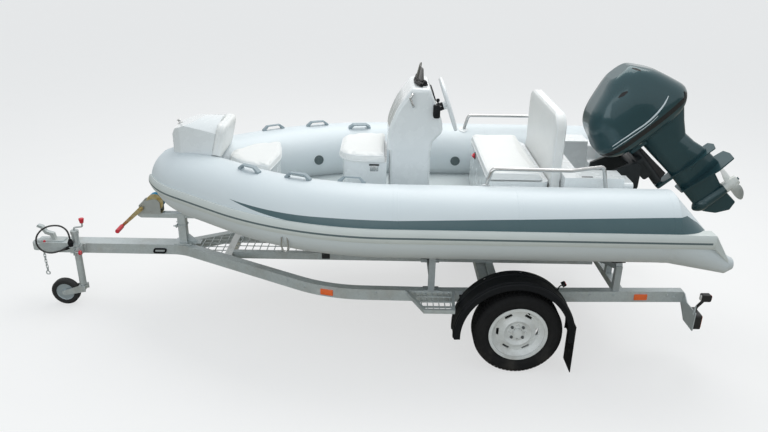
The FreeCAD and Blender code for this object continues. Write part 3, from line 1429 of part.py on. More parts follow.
def winch_strap():
    """The strap: wound on the spool, then pulled straight to a hook at the bow eye."""
    half = s.strap_wide / 2
    centre = V(winch_x, 0, s.winch_drum_up)
    wound = Part.makeCylinder(float(s.winch_wound), 2 * half, centre - V(0, half, 0), V(0, 1, 0))
    wound = wound.cut(Part.makeCylinder(s.winch_spool + s.seat_gap, 2 * half + 2, centre - V(0, half + 1, 0), V(0, 1, 0)))
    end = V(eye_x + 40, 0, eye_z + 12)
    reach = centre - end
    tilt = math.atan2(reach.z, reach.x) + math.asin(s.winch_wound / reach.Length)
    way = V(math.cos(tilt), 0, math.sin(tilt))
    out = V(-way.z, 0, way.x)
    long = math.sqrt(reach.Length ** 2 - float(s.winch_wound) ** 2)
    thick = float(s.strap_thick)
    corners = [end, end + way * long, end + way * long - out * thick, end - out * thick]
    tail = Part.Face(Part.makePolygon([c - V(0, half, 0) for c in corners + corners[:1]])).extrude(V(0, 2 * half, 0))
    loop = Part.makeCylinder(9, 2 * half, end - out * 4 - V(0, half, 0), V(0, 1, 0))
    return wound.fuse([tail, loop])


feature("winch_strap", winch_strap())
def deck_floor():
    edge = [(s.transom_aft + s.transom_thick, s.hull_side), (900, s.hull_side), (1500, s.hull_side - 100),
            (2000, s.hull_side - 400)]
    low = s.deck_z - s.deck_thick
    points = [V(station(ahead), half, low) for ahead, half in edge]
    points += [V(station(ahead), -half, low) for ahead, half in reversed(edge)]
    made = Part.Face(Part.makePolygon(points + points[:1])).extrude(V(0, 0, float(s.deck_thick)))
    return grown_cut(made, collar_space)


feature("deck_floor", deck_floor())


def transom():
    x = station(s.transom_aft)
    half = s.transom_half
    low = s.keel_z + 10
    side = s.keel_z + 140
    made = plate([(x, -half, side), (x, 0, low), (x, half, side), (x, half, s.transom_top), (x, s.notch_half, s.transom_top),
                  (x, s.notch_half - 30, s.notch_top), (x, -s.notch_half + 30, s.notch_top),
                  (x, -s.notch_half, s.transom_top), (x, -half, s.transom_top)],
                 (1, 0, 0), s.transom_thick - s.seat_gap)
    made = made.makeFillet(24, [item for item in made.Edges
                                if along("x")(item) and item.BoundBox.ZMin > s.notch_top - 1])
    return grown_cut(made, collar_space)


transom_shape = transom()
feature("transom", transom_shape)


def under_boat(piece):
    """A support once the hull and the transom are taken out of it."""
    return grown_cut(grown_cut(piece, hull_shape), transom_shape)


brackets = [under_boat(item) for item in bunk_brackets()]
feature("bunk_brackets", Part.makeCompound(brackets + [mirrored(item) for item in brackets]))
pads = [under_boat(item) for item in (bunk_pad, bolster_pad, rest_pad)]
feature("bunk_pads", Part.makeCompound(pads + [mirrored(item) for item in pads]))


def splash_well():
    """The moulded well between the transom and the backrest, open at the top and to the outboard."""
    x_low = station(s.transom_aft) + s.transom_thick + s.seat_gap
    x_high = station(s.well_front)
    half = s.transom_half
    low = s.deck_z + s.seat_gap
    outer = Part.makeBox(x_high - x_low, 2 * half, s.well_top - low, V(x_low, -half, low))
    hollow = Part.makeBox(x_high - x_low - 90 - 2 * s.well_wall, 2 * s.notch_half, 400, V(x_low - 1, -s.notch_half, s.well_floor))
    hollow = hollow.makeFillet(35, [item for item in hollow.Edges
                                    if item.BoundBox.XMin > x_low and along("z")(item)])
    made = grown_cut(outer.cut(hollow), collar_space)
    rim_edges = [item for item in made.Edges
                 if item.BoundBox.ZMin > s.well_top - 0.1 and along("x")(item) and abs(item.BoundBox.YMin) < s.notch_half + 5]
    return made.makeFillet(10, rim_edges)


feature("splash_well", splash_well())


# Bow locker: its plan, its arched section and its side view, crossed with each other.
def bow_locker():
    rear, front = station(s.locker_rear), station(s.locker_front)
    low = s.locker_edge - 205
    lean = math.tan(math.radians(s.pad_lean))
    plan = [(rear - 90, -s.pad_half - 2), (front - 60, -128), (front, -84), (front, 84), (front - 60, 128),
            (rear - 90, s.pad_half + 2)]
    planned = Part.Face(Part.makePolygon([V(x, y, low) for x, y in plan + plan[:1]])).extrude(V(0, 0, 400))
    planned = planned.makeFillet(30, [item for item in planned.Edges if along("z")(item) and item.BoundBox.XMin > rear])
    half = s.pad_half + 4
    arch = Part.Wire([Part.makeLine(V(rear - 100, -half, low), V(rear - 100, -half, s.locker_edge - 12)),
                      Part.Arc(V(rear - 100, -half, s.locker_edge - 12), V(rear - 100, 0, s.locker_crown),
                               V(rear - 100, half, s.locker_edge - 12)).toShape(),
                      Part.makeLine(V(rear - 100, half, s.locker_edge - 12), V(rear - 100, half, low)),
                      Part.makeLine(V(rear - 100, half, low), V(rear - 100, -half, low))])
    arched = Part.Face(arch).extrude(V(500, 0, 0))
    crown = s.locker_crown
    side = [(rear, low), (front, low), (front, s.locker_edge - 34), (front - 26, s.locker_edge + 14),
            (rear + 60, crown + 2), (rear - lean * (crown - s.pad_low), crown + 2), (rear, s.pad_low)]
    sided = Part.Face(Part.makePolygon([V(x, -half - 5, z) for x, z in side + side[:1]])).extrude(V(0, 2 * half + 10, 0))
    return grown_cut(planned.common(arched).common(sided), collar_space)


feature("bow_locker", bow_locker())


def bow_backrest():
    """Padded slab that leans on the locker's aft face."""
    thick, half = s.pad_thick, s.pad_half
    made = Part.makeBox(thick, 2 * half, s.pad_tall, V(-thick - s.seat_gap, -half, 0))
    made = made.makeFillet(60, [item for item in made.Edges if along("x")(item) and item.BoundBox.ZMin > 100])
    made = made.makeFillet(14, [item for item in made.Edges if item.BoundBox.XMax < -thick + 1])
    made.rotate(V(0, 0, 0), V(0, 1, 0), -float(s.pad_lean))
    made.translate(V(station(s.locker_rear), 0, s.pad_low))
    return grown_cut(made, collar_space)


feature("bow_backrest", bow_backrest())


def bow_seat_plan(inset, low, tall):
    """The bow seat in plan: a narrow rounded nose, swelling sides, a bowed aft edge."""
    nose = station(s.bow_seat_nose) - inset
    rear = station(s.bow_seat_rear) + inset
    half = s.bow_seat_half - inset
    middle = nose - s.bow_seat_long * 0.43
    points = [(nose, 0), (nose, half * 0.2), (middle, half * 0.78), (rear, half), (rear - 40, 0), (rear, -half),
              (middle, -half * 0.78), (nose, -half * 0.2), (nose, 0)]
    bends = [60, 200, 26, 420, 26, 200, 60]
    edges = path_edges([V(x, y, low) for x, y in points], bends)
    return Part.Face(Part.Wire(edges)).extrude(V(0, 0, float(tall)))


floor_seat = s.deck_z + s.seat_gap
feature("bow_seat", grown_cut(bow_seat_plan(14, floor_seat, s.bow_seat_top - floor_seat), collar_space))


def top_edges(made):
    high = made.BoundBox.ZMax
    return [item for item in made.Edges if item.BoundBox.ZMin > high - 0.1]


bow_cushion = bow_seat_plan(0, s.bow_seat_top + s.seat_gap, s.bow_pad)
bow_cushion = bow_cushion.makeFillet(14, top_edges(bow_cushion))
feature("bow_cushion", grown_cut(bow_cushion, collar_space))


# Console seat: a box with a rounded front under a thick lid.
def seat_plan(rear, front, half, corner, low, tall):
    made = Part.makeBox(front - rear, 2 * half, tall, V(rear, -half, low))
    return made.makeFillet(float(corner), [item for item in made.Edges if along("z")(item) and item.BoundBox.XMin > rear + 1])


front_x = station(s.seat_front)
rear_x = station(s.seat_rear)
feature("console_seat", seat_plan(rear_x - s.run_gap, front_x - 26, s.seat_half - 24, s.seat_corner - 24, floor_seat,
                                  s.seat_top - floor_seat))
seat_lid = seat_plan(rear_x, front_x, s.seat_half, s.seat_corner, s.seat_top + s.seat_gap, s.seat_pad)
feature("console_seat_lid", seat_lid.makeFillet(16, top_edges(seat_lid)))


# Console: a box below a curved pod, one hollow moulding open at the bottom.
pod_side = [
    # ahead of the lower box's aft face, share of the rise above the seam, bend there
    (284, 0, 0), (287, 0.3, 300), (228, 0.68, 500), (133, 1, 40), (20, 1, 30), (-64, 0.47, 150), (-72, 0.3, 60),
    (-4, 0.124, 60), (-4, 0, 0),
]


def pod_place(ahead, share):
    """A place on the pod's side view."""
    return station(s.console_aft + ahead), s.console_seam + s.pod_rise * share


def console_form(inset):
    places = [pod_place(ahead, share) for ahead, share, bend in pod_side]
    points = [V(x, 0, z) for x, z in places]
    edges = path_edges(points, [float(bend) for ahead, share, bend in pod_side[1:-1]])
    edges.append(Part.makeLine(points[-1], points[0]))
    face = Part.Face(Part.Wire(edges))
    edge = float(s.console_edge - inset)
    half = s.console_half - inset
    if inset:
        face = Part.Face(face.OuterWire.makeOffset2D(-float(inset), 0))
    face.translate(V(0, -half, 0))
    pod = face.extrude(V(0, 2 * half, 0))
    pod = pod.makeFillet(edge, [item for item in pod.Edges
                                if (item.BoundBox.YMin > half - 0.1 or item.BoundBox.YMax < -half + 0.1)
                                and item.BoundBox.ZMax > s.console_seam + inset + 0.1])
    half = half - s.console_wall
    rear, front = station(s.console_aft) + inset, station(s.console_front) - inset
    low = floor_seat - (1 if inset else 0)
    box = Part.makeBox(front - rear, 2 * half, s.console_seam + 2 * inset - low, V(rear, -half, low))
    box = box.makeFillet(edge, [item for item in box.Edges if along("z")(item)])
    return pod.fuse(box)


console_outer = console_form(0)
feature("console", console_outer.cut(console_form(s.console_wall)))


def windscreen():
    """A sheet bent round an upright axis, with cut corners, leaning aft."""
    radius, half, tall = s.screen_radius, s.screen_half, s.screen_tall
    x = station(s.screen_ahead)
    z = s.console_top + s.seat_gap
    sheet_part = Part.makeCylinder(float(radius), tall + 80, V(x - radius, 0, z - 40))
    sheet_part = sheet_part.cut(Part.makeCylinder(radius - s.screen_thick, tall + 90, V(x - radius, 0, z - 45)))
    front = plate([(x - 120, -half, z - 40), (x - 120, -half, z + tall * 0.35), (x - 120, -half + 60, z + tall),
                   (x - 120, half - 60, z + tall), (x - 120, half, z + tall * 0.35), (x - 120, half, z - 40)],
                  (1, 0, 0), 160)
    front = front.makeFillet(24, [item for item in front.Edges if along("x")(item) and item.BoundBox.ZMin > z])
    made = sheet_part.common(front)
    made.rotate(V(x, 0, z), V(0, 1, 0), -float(s.screen_lean))
    return made.cut(Part.makeBox(400, 800, 100, V(x - 300, -400, z - 100)))


feature("windscreen", windscreen())


# Throttle box on the console's side, and the compass behind the screen.
def throttle_box():
    x, z = pod_place(48, 0.53)
    side = s.console_half + s.seat_gap
    made = Part.makeBox(92, 36, 96, V(x - 92, side, z))
    made = made.makeFillet(12, [item for item in made.Edges if along("y")(item)])
    made = made.makeFillet(6, [item for item in made.Edges if item.BoundBox.YMin > side + 35])
    pivot = Part.makeCylinder(24, 12, V(x - 48, side + 34, z + 50), V(0, 1, 0))
    lever = plate([(x - 60, side + 42, z + 48), (x - 38, side + 42, z + 48), (x - 40, side + 42, z + 142),
                   (x - 54, side + 42, z + 142)], (0, 1, 0), 9, 4)
    knob = Part.makeCylinder(13, 46, V(x - 47, side + 18, z + 142), V(0, 1, 0))
    knob = knob.makeFillet(5, list(knob.Edges)[:1])
    return made.fuse([pivot, lever, knob])


def compass():
    x = station(s.console_aft + 62)
    z = s.console_top + s.seat_gap
    base = Part.makeCylinder(24, 12, V(x, 100, z))
    hood = Part.makeCylinder(22, 34, V(x, 100, z))
    hood = hood.makeFillet(9, [item for item in hood.Edges if item.BoundBox.ZMin > z + 30])
    return base.fuse(hood)


console_outer_space = console_outer.copy()
console_outer_space.translate(V(-float(s.seat_gap), 0, 0))
console_outer_space = console_outer_space.fuse(console_outer)
feature("helm_fittings", Part.makeCompound([throttle_box(), compass()]))


def console_rail():
    """A short grab rail that stands off the console's side."""
    side = s.console_half + s.seat_gap
    out = side + 34
    x, z = pod_place(126, 0.73)
    made = round_bar([(x, side, z), (x, out, z), (x + 22, out, z + 55), (x + 8, out, z + 77), (x + 8, side, z + 77)],
                     8, 14)
    return made.cut(Part.makeBox(400, 2 * side, 400, V(x - 200, -side, z - 150)))


pair("console_rails", console_rail())


def helm_wheel():
    """Steering wheel about its own axis: rim, boss with its bore, three dished spokes."""
    made = Part.makeTorus(float(s.helm_radius), float(s.helm_grip))
    boss = Part.makeCone(26, 34, 42, V(0, 0, -34))
    made = made.fuse(boss)
    for at in range(3):
        spoke = plate([(14, -17, -12), (s.helm_radius - 2, -11, -5), (s.helm_radius - 2, 11, -5), (14, 17, -12)],
                      (0, 0, 1), 9)
        spoke.rotate(V(0, 0, 0), V(0, 0, 1), 90 + at * 120)
        made = made.fuse(spoke)
    return made


helm_lean = math.radians(s.helm_lean)
helm_way = V(-math.cos(helm_lean), 0, math.sin(helm_lean))
helm_centre = V(station(s.helm_ahead), 0, s.helm_up)
wheel_feature = feature("helm_wheel", helm_wheel())
wheel_feature.Placement = FreeCAD.Placement(helm_centre, FreeCAD.Rotation(V(0, 0, 1), helm_way))
shaft_from = helm_centre - helm_way * (34 + s.seat_gap)
helm_boss = Part.makeCone(34, 26, 160, shaft_from - helm_way * 160, helm_way).cut(console_outer_space)
feature("helm_boss", [piece for piece in helm_boss.Solids if piece.BoundBox.XMin < shaft_from.x + 1][0])


# Rear bench with its cushion lid and the backrest.
def slab(x_low, x_high, half, z_low, z_high, corner):
    made = Part.makeBox(x_high - x_low, 2 * half, z_high - z_low, V(x_low, -half, z_low))
    return made.makeFillet(float(corner), [item for item in made.Edges if along("z")(item)])


bench_rear, bench_front = station(s.bench_rear), station(s.bench_front)
feature("rear_bench", grown_cut(slab(bench_rear, bench_front, s.bench_half, floor_seat, s.bench_top, 50), collar_space))
cushion_low = s.bench_top + s.seat_gap
rear_cushion = slab(bench_rear + 25, bench_front + 8, s.bench_half - s.run_gap, cushion_low, cushion_low + s.bench_pad, 40)
rear_cushion = rear_cushion.makeFillet(18, top_edges(rear_cushion))
bevel = plate([(bench_rear, -600, cushion_low), (bench_rear + 25, -600, cushion_low),
               (bench_rear + 65, -600, cushion_low + s.bench_pad + 1), (bench_rear, -600, cushion_low + s.bench_pad + 1)],
              (0, 1, 0), 1200)
feature("rear_cushion", grown_cut(rear_cushion.cut(bevel), collar_space))


def backrest():
    x = station(s.well_front) + s.seat_gap + s.back_thick
    low = s.bench_top - 60
    half, top = s.back_half, s.back_top
    made = plate([(x, -half, low), (x, half, low), (x, half, top), (x, -half, top)], (-1, 0, 0), s.back_thick)
    made = made.makeFillet(80, [item for item in made.Edges if along("x")(item) and item.BoundBox.ZMin > top - 1])
    return made.makeFillet(20, [item for item in made.Edges if item.BoundBox.ZMax > low + 1
                                and (item.BoundBox.XMin > x - 0.1 or item.BoundBox.XMax < x - s.back_thick + 0.1)])


feature("backrest", backrest())


def stern_rail():
    x = station(0)
    return round_bar([(x + 240, 635, 1150), (x + 205, 640, 1277), (x - 260, 650, 1277), (x - 480, 560, 1277),
                      (x - 520, 560, 1090)], s.rail_tube, 30)


pair("stern_rails", grown_cut(stern_rail(), collar_space))

# The outboard, built upright about its tilt tube and then tilted up.
tilt_place = FreeCAD.Placement(V(station(s.tilt_ahead), 0, s.tilt_up), FreeCAD.Rotation(V(0, 1, 0), float(s.tilt_angle)))


def tilted(label, shape):
    made = feature(label, shape)
    made.Placement = tilt_place
    return made


def clamp_bracket():
    """Two cheeks that hook over the transom, with clamp screws and the tilt tube."""
    x = station(s.transom_aft)
    tilt = V(station(s.tilt_ahead), 0, s.tilt_up)
    thick = s.bracket_thick
    whole = None
    for y in (-s.bracket_half, s.bracket_half - thick):
        cheek = plate([(x - s.seat_gap, y, 800), (x - 60, y, 800),
                       (tilt.x - 30, y, 1000), (tilt.x - 34, y, tilt.z + 10), (tilt.x, y, tilt.z + 32),
                       (tilt.x + 60, y, tilt.z + 20), (x + s.transom_thick + 24, y, s.notch_top + 40),
                       (x + s.transom_thick + 24, y, s.notch_top - 90), (x + s.transom_thick + s.seat_gap, y, s.notch_top - 90),
                       (x + s.transom_thick + s.seat_gap, y, s.notch_top + 6), (x - s.seat_gap, y, s.notch_top + 6)],
                      (0, 1, 0), thick)
        cheek = cheek.makeFillet(9, [item for item in cheek.Edges
                                     if along("y")(item) and item.BoundBox.XMax < x - 30])
        web = plate([(x - 60, y, 860), (x - s.seat_gap, y, 860), (x - s.seat_gap, y, 880), (x - 60, y, 880)], (0, 1, 0), thick)
        whole = cheek.fuse(web) if whole is None else whole.fuse([cheek, web])
    pin = Part.makeCylinder(float(s.tilt_tube), 2 * s.bracket_half, V(tilt.x, -float(s.bracket_half), tilt.z), V(0, 1, 0))
    tie = Part.makeBox(26, 2 * s.bracket_half, 60, V(x - 26.3, -s.bracket_half, 812))
    return whole.fuse([pin, tie])


feature("clamp_bracket", clamp_bracket())


def swivel_bracket():
    """Tilt bearing, upright steering sleeve and the web between them."""
    eye = Part.makeCylinder(26, 236, V(0, -118, 0), V(0, 1, 0))
    back = -float(s.king_back)
    sleeve = Part.makeCylinder(float(s.king_radius + s.king_wall), 300, V(back, 0, -250))
    sleeve = sleeve.makeChamfer(4, [item for item in sleeve.Edges if item.BoundBox.ZMax < -249])
    web = Part.makeBox(float(s.king_back), 60, 150, V(back, -30, -170))
    web = web.makeFillet(20, [item for item in web.Edges if along("y")(item) and item.BoundBox.ZMax < -160
                              and item.BoundBox.XMin > -10])
    arms = Part.makeBox(s.king_back - 10, 200, 26, V(back, -100, -14))
    whole = eye.fuse([sleeve, web, arms])
    whole = whole.cut(Part.makeCylinder(s.tilt_tube + s.pin_gap, 300, V(0, -150, 0), V(0, 1, 0)))
    return whole.cut(Part.makeCylinder(s.king_radius + s.pin_gap, 400, V(back, 0, -300)))


tilted("swivel_bracket", swivel_bracket())


def oval(up, front, rear, half, nose=0.62, tail=0.66, inset=0):
    """A plan section of the casing: blunt nose, full sides, narrower tail, every corner rounded."""
    front, rear, half = front - inset, rear + inset, half - inset
    long = front - rear
    side = [(front, half * nose), (front - long * 0.17, half), (rear + long * 0.3, half * 0.98), (rear, half * tail)]
    points = [V(front, 0, up)] + [V(x, y, up) for x, y in side]
    points += [V(x, -y, up) for x, y in reversed(side)] + [V(front, 0, up)]
    bends = []
    for at in range(1, len(points) - 1):
        before, after = points[at] - points[at - 1], points[at + 1] - points[at]
        runs = [before.Length * (1.9 if at == 1 else 1), after.Length * (1.9 if at == len(points) - 2 else 1)]
        bends.append(0.46 * min(runs) / math.tan(before.getAngle(after) / 2))
    return Part.Wire(path_edges(points, bends))


cowl_sections = [
    # above the tilt tube, front, rear, half width
    (210, 135, -550, 180),
    (281, 124, -534, 188),
    (345, 110, -506, 188),
    (412, 84, -474, 182),
    (462, 36, -444, 170),
    (508, -48, -408, 152),
    (545, -130, -376, 126),
    (s.cowl_top, -205, -338, 82),
]


def cowl():
    """The motor cover: a thin shell, full at the seam and drawn up to a small crown."""
    wall = float(s.cowl_wall)
    low = s.seam_up + s.seat_gap
    outer = Part.makeLoft([oval(*row) for row in cowl_sections], True, False)
    skirt = Part.makeLoft([oval(low, 130, -545, 176), oval(210, 135, -550, 180)], True, True)
    first = cowl_sections[0]
    inner_rows = [(up - wall * (at > 0), front, rear, half) for at, (up, front, rear, half) in enumerate(cowl_sections)]
    inner = Part.makeLoft([oval(*row, inset=wall) for row in inner_rows], True, False)
    skirt_hollow = Part.makeLoft([oval(low - 1, 130, -545, 176, inset=wall), oval(210, *first[1:], inset=wall)], True, True)
    return outer.cut(inner).fuse(skirt.cut(skirt_hollow))


tilted("cowl", cowl())


def powerhead():
    """The engine itself, as one block of its weight under the cover."""
    low = s.seam_up + s.seat_gap
    made = Part.makeBox(490, 230, 195, V(-440, -115, low))
    return made.makeChamfer(30, [item for item in made.Edges if along("z")(item)])


tilted("powerhead", powerhead())


def lower_pan():
    wires = [oval(float(s.seam_up), 130, -545, 176), oval(158, 112, -526, 164),
             oval(float(s.pan_down), 34, -452, 118)]
    return Part.makeLoft(wires, True, False)


tilted("lower_pan", lower_pan())


def midsection():
    """The leg's upper casing with its spray plate, the steering pin and its two ends."""
    rows = [(s.pan_down - s.seat_gap, -124, -490, 92), (20, -134, -440, 82), (-69, -143, -398, 68),
            (-160, -154, -415, 54), (-s.spray_down + 20, -163, -447, 45), (-s.plate_down + 9 + s.seat_gap, -166, -470, 37)]
    leg = Part.makeLoft([oval(float(up), front, rear, half, 0.4, 0.4) for up, front, rear, half in rows], True, True)
    back = -float(s.king_back)
    pin = Part.makeCylinder(float(s.king_radius), 350, V(back, 0, -275))
    head = Part.makeBox(130, 120, 24, V(back - 90, -60, 58))
    head = head.makeFillet(16, [item for item in head.Edges if along("z")(item) and item.BoundBox.XMin > back])
    foot = Part.makeBox(120, 80, 20, V(back - 90, -40, -284))
    foot = foot.makeFillet(16, [item for item in foot.Edges if along("z")(item) and item.BoundBox.XMin > back])
    arm = Part.makeBox(130, 26, 16, V(back - 10, -13, 82))
    arm = arm.makeFillet(12, [item for item in arm.Edges if along("z")(item) and item.BoundBox.XMin > 0])
    down = -float(s.spray_down)
    spray = plate([(-158, -40, down), (-158, 40, down), (-300, 72, down), (-490, 60, down), (-507, 0, down),
                   (-490, -60, down), (-300, -72, down)], (0, 0, 1), 7, 10)
    return leg.fuse([pin, head, foot, arm, spray])


tilted("midsection", midsection())


def lower_unit():
    """Anti-ventilation plate, strut, bullet gear case and skeg."""
    plate_z = -float(s.plate_down)
    shaft = -float(s.shaft_down)
    edge = plate([(-150, -60, plate_z), (-150, 60, plate_z), (-420, 104, plate_z), (-548, 80, plate_z),
                  (-560, 0, plate_z), (-548, -80, plate_z), (-420, -104, plate_z)], (0, 0, 1), s.plate_thick, 12)
    leg = Part.makeLoft([oval(plate_z + 1, -166, -440, 32, 0.4, 0.3), oval(plate_z - 38, -170, -411, 27, 0.4, 0.3),
                         oval(shaft, -178, -392, 22, 0.4, 0.3)], True, True)
    nose = float(s.gear_nose)
    tail = float(s.gear_tail)
    radius = float(s.gear_radius)
    front = V(nose - 3, 0, 0)
    curve = [Part.makeLine(V(nose, 0, 0), V(nose, 0, 8)),
             Part.Arc(V(nose, 0, 8), V(nose - 26, 0, radius * 0.74), V(nose - 96, 0, radius)).toShape(),
             Part.makeLine(V(nose - 96, 0, radius), V(tail + 70, 0, radius)),
             Part.Arc(V(tail + 70, 0, radius), V(tail + 34, 0, radius - 2.5), V(tail, 0, radius - 8)).toShape(),
             Part.makeLine(V(tail, 0, radius - 8), V(tail, 0, 0)),
             Part.makeLine(V(tail, 0, 0), V(nose, 0, 0))]
    gear = Part.Face(Part.Wire(curve)).revolve(V(0, 0, 0), V(1, 0, 0), 360)
    gear.translate(V(0, 0, shaft))
    half = float(s.skeg_thick) / 2
    skeg = plate([(-186, -half, shaft - 30), (-400, -half, shaft - 30), (-412, -half, -float(s.skeg_down) + 26),
                  (-350, -half, -float(s.skeg_down)), (-262, -half, shaft - 128), (-210, -half, shaft - 70)],
                 (0, 1, 0), 2 * half)
    skeg = skeg.makeFillet(14, [item for item in skeg.Edges if along("y")(item) and item.BoundBox.ZMax < shaft - 100])
    skeg = skeg.makeChamfer(3.5, [item for item in skeg.Edges
                                  if item.BoundBox.ZMax < shaft - 60 and item.BoundBox.ZMin < shaft - 60
                                  and (abs(item.BoundBox.YMin - half) < 0.1 or abs(item.BoundBox.YMax + half) < 0.1)])
    end = Part.makeCylinder(float(s.prop_shaft), s.blade_long + 20, V(tail - s.blade_long - 14, 0, shaft), V(1, 0, 0))
    return edge.fuse([leg, gear, skeg, end])


tilted("lower_unit", lower_unit())

blade_sections = [
    # radius, chord, thickness, sweep back round the hub
    (31, 66, 11, 0), (50, 78, 9, 3), (75, 104, 7, 5), (100, 116, 5.5, 6), (122, 104, 4, 9),
    (136, 70, 3, 14), (s.blade_radius, 32, 2, 20),
]


def propeller():
    """Three-bladed propeller: a bored hub with blades of lens section, twisted to one pitch."""
    shaft = -float(s.shaft_down)
    start = float(s.gear_tail) - s.seat_gap
    long = float(s.blade_long)
    hub_part = Part.makeCone(float(s.blade_hub) - 6, float(s.blade_hub), long, V(start - long, 0, shaft), V(1, 0, 0))
    wires = []
    for radius, chord, thick, sweep in blade_sections:
        twist = math.atan(s.blade_pitch / (2 * math.pi * radius))
        way = V(math.sin(twist), math.cos(twist), 0)
        over = V(math.cos(twist), -math.sin(twist), 0)
        middle = V(0, -float(sweep), float(radius))
        lead, trail = middle + way * (chord / 2), middle - way * (chord / 2)
        wires.append(Part.Wire([Part.Arc(lead, middle + over * (thick / 2), trail).toShape(),
                                Part.Arc(trail, middle - over * (thick / 2), lead).toShape()]))
    blade = Part.makeLoft(wires, True, False)
    whole = hub_part
    for at in range(3):
        one = blade.copy()
        one.rotate(V(0, 0, 0), V(1, 0, 0), at * 120)
        one.translate(V(start - long / 2, 0, shaft))
        whole = whole.fuse(one)
    return whole.cut(Part.makeCylinder(s.prop_shaft + s.pin_gap, 300, V(start - 250, 0, shaft), V(1, 0, 0)))


tilted("propeller", propeller())

# Check every object, then write each sub-part's solid.
doc.recompute()
failed = [item.Label for item in doc.Objects if "Invalid" in item.State or "Error" in item.State]
if failed:
    raise SystemExit(f"failed objects: {failed}")
os.makedirs("parts", exist_ok=True)
for item in sub_parts:
    shape = item.Shape
    if shape.isNull() or not shape.isValid() or not shape.Solids:
        raise SystemExit(f"bad shape: {item.Label}")
    shape.exportStep(f"parts/{item.Label}.step")
    box = shape.BoundBox
    print(f"{item.Label:22s} {len(shape.Solids):3d} solids {shape.Volume / 1e6:9.3f} l  "
          f"x {box.XMin:8.1f} {box.XMax:8.1f}  y {box.YMin:7.1f} {box.YMax:7.1f}  z {box.ZMin:7.1f} {box.ZMax:7.1f}")
print(len(sub_parts), "sub-parts")
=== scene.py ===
# %% [markdown]
# # A rigid inflatable boat on its road trailer
# The boat has a stiff hull with an inflated collar round it, a helm console, padded seats and an
# outboard that is tilted up for the road. It stands on a galvanised trailer with one axle.
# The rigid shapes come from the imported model. This lesson gives them their finishes, and adds what
# a solid can't show well: padded seats, tyre tread, the lighting cable and the small fittings.

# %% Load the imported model
import json
import math

import bmesh
import bpy
from mathutils import Matrix, Vector
from mathutils.bvhtree import BVHTree


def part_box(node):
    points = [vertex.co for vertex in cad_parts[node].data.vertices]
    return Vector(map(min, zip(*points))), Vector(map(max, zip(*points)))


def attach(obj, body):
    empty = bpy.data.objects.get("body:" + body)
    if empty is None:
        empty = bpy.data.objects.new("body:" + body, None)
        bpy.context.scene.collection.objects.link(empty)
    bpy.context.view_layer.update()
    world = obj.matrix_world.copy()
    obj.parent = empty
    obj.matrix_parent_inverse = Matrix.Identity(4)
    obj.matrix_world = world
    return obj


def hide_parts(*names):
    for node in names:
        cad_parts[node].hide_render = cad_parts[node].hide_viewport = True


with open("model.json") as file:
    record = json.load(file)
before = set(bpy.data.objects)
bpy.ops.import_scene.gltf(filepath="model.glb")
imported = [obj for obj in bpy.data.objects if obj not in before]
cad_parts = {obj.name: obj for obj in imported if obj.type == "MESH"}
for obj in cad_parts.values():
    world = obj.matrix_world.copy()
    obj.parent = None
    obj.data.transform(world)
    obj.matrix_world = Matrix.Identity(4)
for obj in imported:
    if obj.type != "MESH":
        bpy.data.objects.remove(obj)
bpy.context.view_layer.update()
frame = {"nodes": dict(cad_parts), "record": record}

nodes = frame["nodes"]
AXLE = -0.846  # the axle's place along the boat, in metres


def at(ahead, port, up):
    """A place from millimetres ahead of the axle, to port of the middle, and above the ground."""
    return Vector((ahead / 1000 + AXLE, port / 1000, up / 1000))


# %% [markdown]
# ## The camera
# The photograph looks at the port side from a little above the tubes. Place, direction and focal
# length were solved from the trailer's wheel and rails, so a pixel of the photograph can be
# followed back to the piece it falls on. A small roll keeps the ground line as it is there.

# %% Camera
PHOTO = (768, 432)
FOCAL = 676.26  # focal length in pixels of the photograph
camera_place = Vector((0.007, 4.444, 2.548))
turn, dip, roll = math.radians(-0.171), math.radians(22.626), math.radians(1.091)
ahead_of_lens = Vector((math.sin(turn) * math.cos(dip), -math.cos(turn) * math.cos(dip), -math.sin(dip)))
level = Vector((-math.cos(turn), -math.sin(turn), 0))
upright = level.cross(ahead_of_lens)
to_right = level * math.cos(roll) + upright * math.sin(roll)
to_top = upright * math.cos(roll) - level * math.sin(roll)

lens = bpy.data.cameras.new("photo_camera")
lens.sensor_width = 36
lens.lens = FOCAL * 36 / PHOTO[0]
lens.clip_end = 60
camera = bpy.data.objects.new("photo_camera", lens)
bpy.context.scene.collection.objects.link(camera)
camera.matrix_world = Matrix((to_right, to_top, -ahead_of_lens)).transposed().to_4x4()
camera.location = camera_place
bpy.context.scene.camera = camera
print("lens", round(lens.lens, 2), "mm")

# %% [markdown]
# ## Finding a place on a solid
# A fitting has to sit on what carries it, seen from any side. A ray meets the solid's own mesh and
# gives both the place and the way that the surface faces there. One helper starts at a pixel of the
# photograph, and the other at any place.

# %% Rays on the solids
# Places in the photograph, in pixels from its left and from its top.
VALVES = ((319, 160), (455, 161))
SEAT_LATCH = (374, 168)
BATTERY_SWITCH = (475.3, 153.3)
DRAIN_SLOT = (587.3, 177.1)
FAIRLEAD = (180.5, 123)
REFLECTORS = ((326.8, 292), (640.3, 297))
COUPLING_BUTTON = (44.5, 241)
TIE_RING = (284.8, 238.5)
GRAB_LOOP = (160, 250.6)
BRIGHT_STRIP = ((612.5, 146.4), (620, 141.2), (628, 135.9), (635, 131), (641.5, 126.8),
                (647.5, 122.3), (654, 116.5), (660, 110), (665, 103), (668.5, 96))
THIN_LINE = ((613, 149.3), (621, 144), (630, 138), (637, 133.2), (645, 127.5), (652, 121.8), (658, 115.8))
COWL_VENT = ((618.5, 97.6), (623, 94.4), (627.6, 91.6))
TOP_CATCH = ((632, 68.2), (636.5, 69.2), (641, 71))
AFT_CATCH = ((684.2, 91.5), (685.2, 96), (684.4, 101))
trees = {}


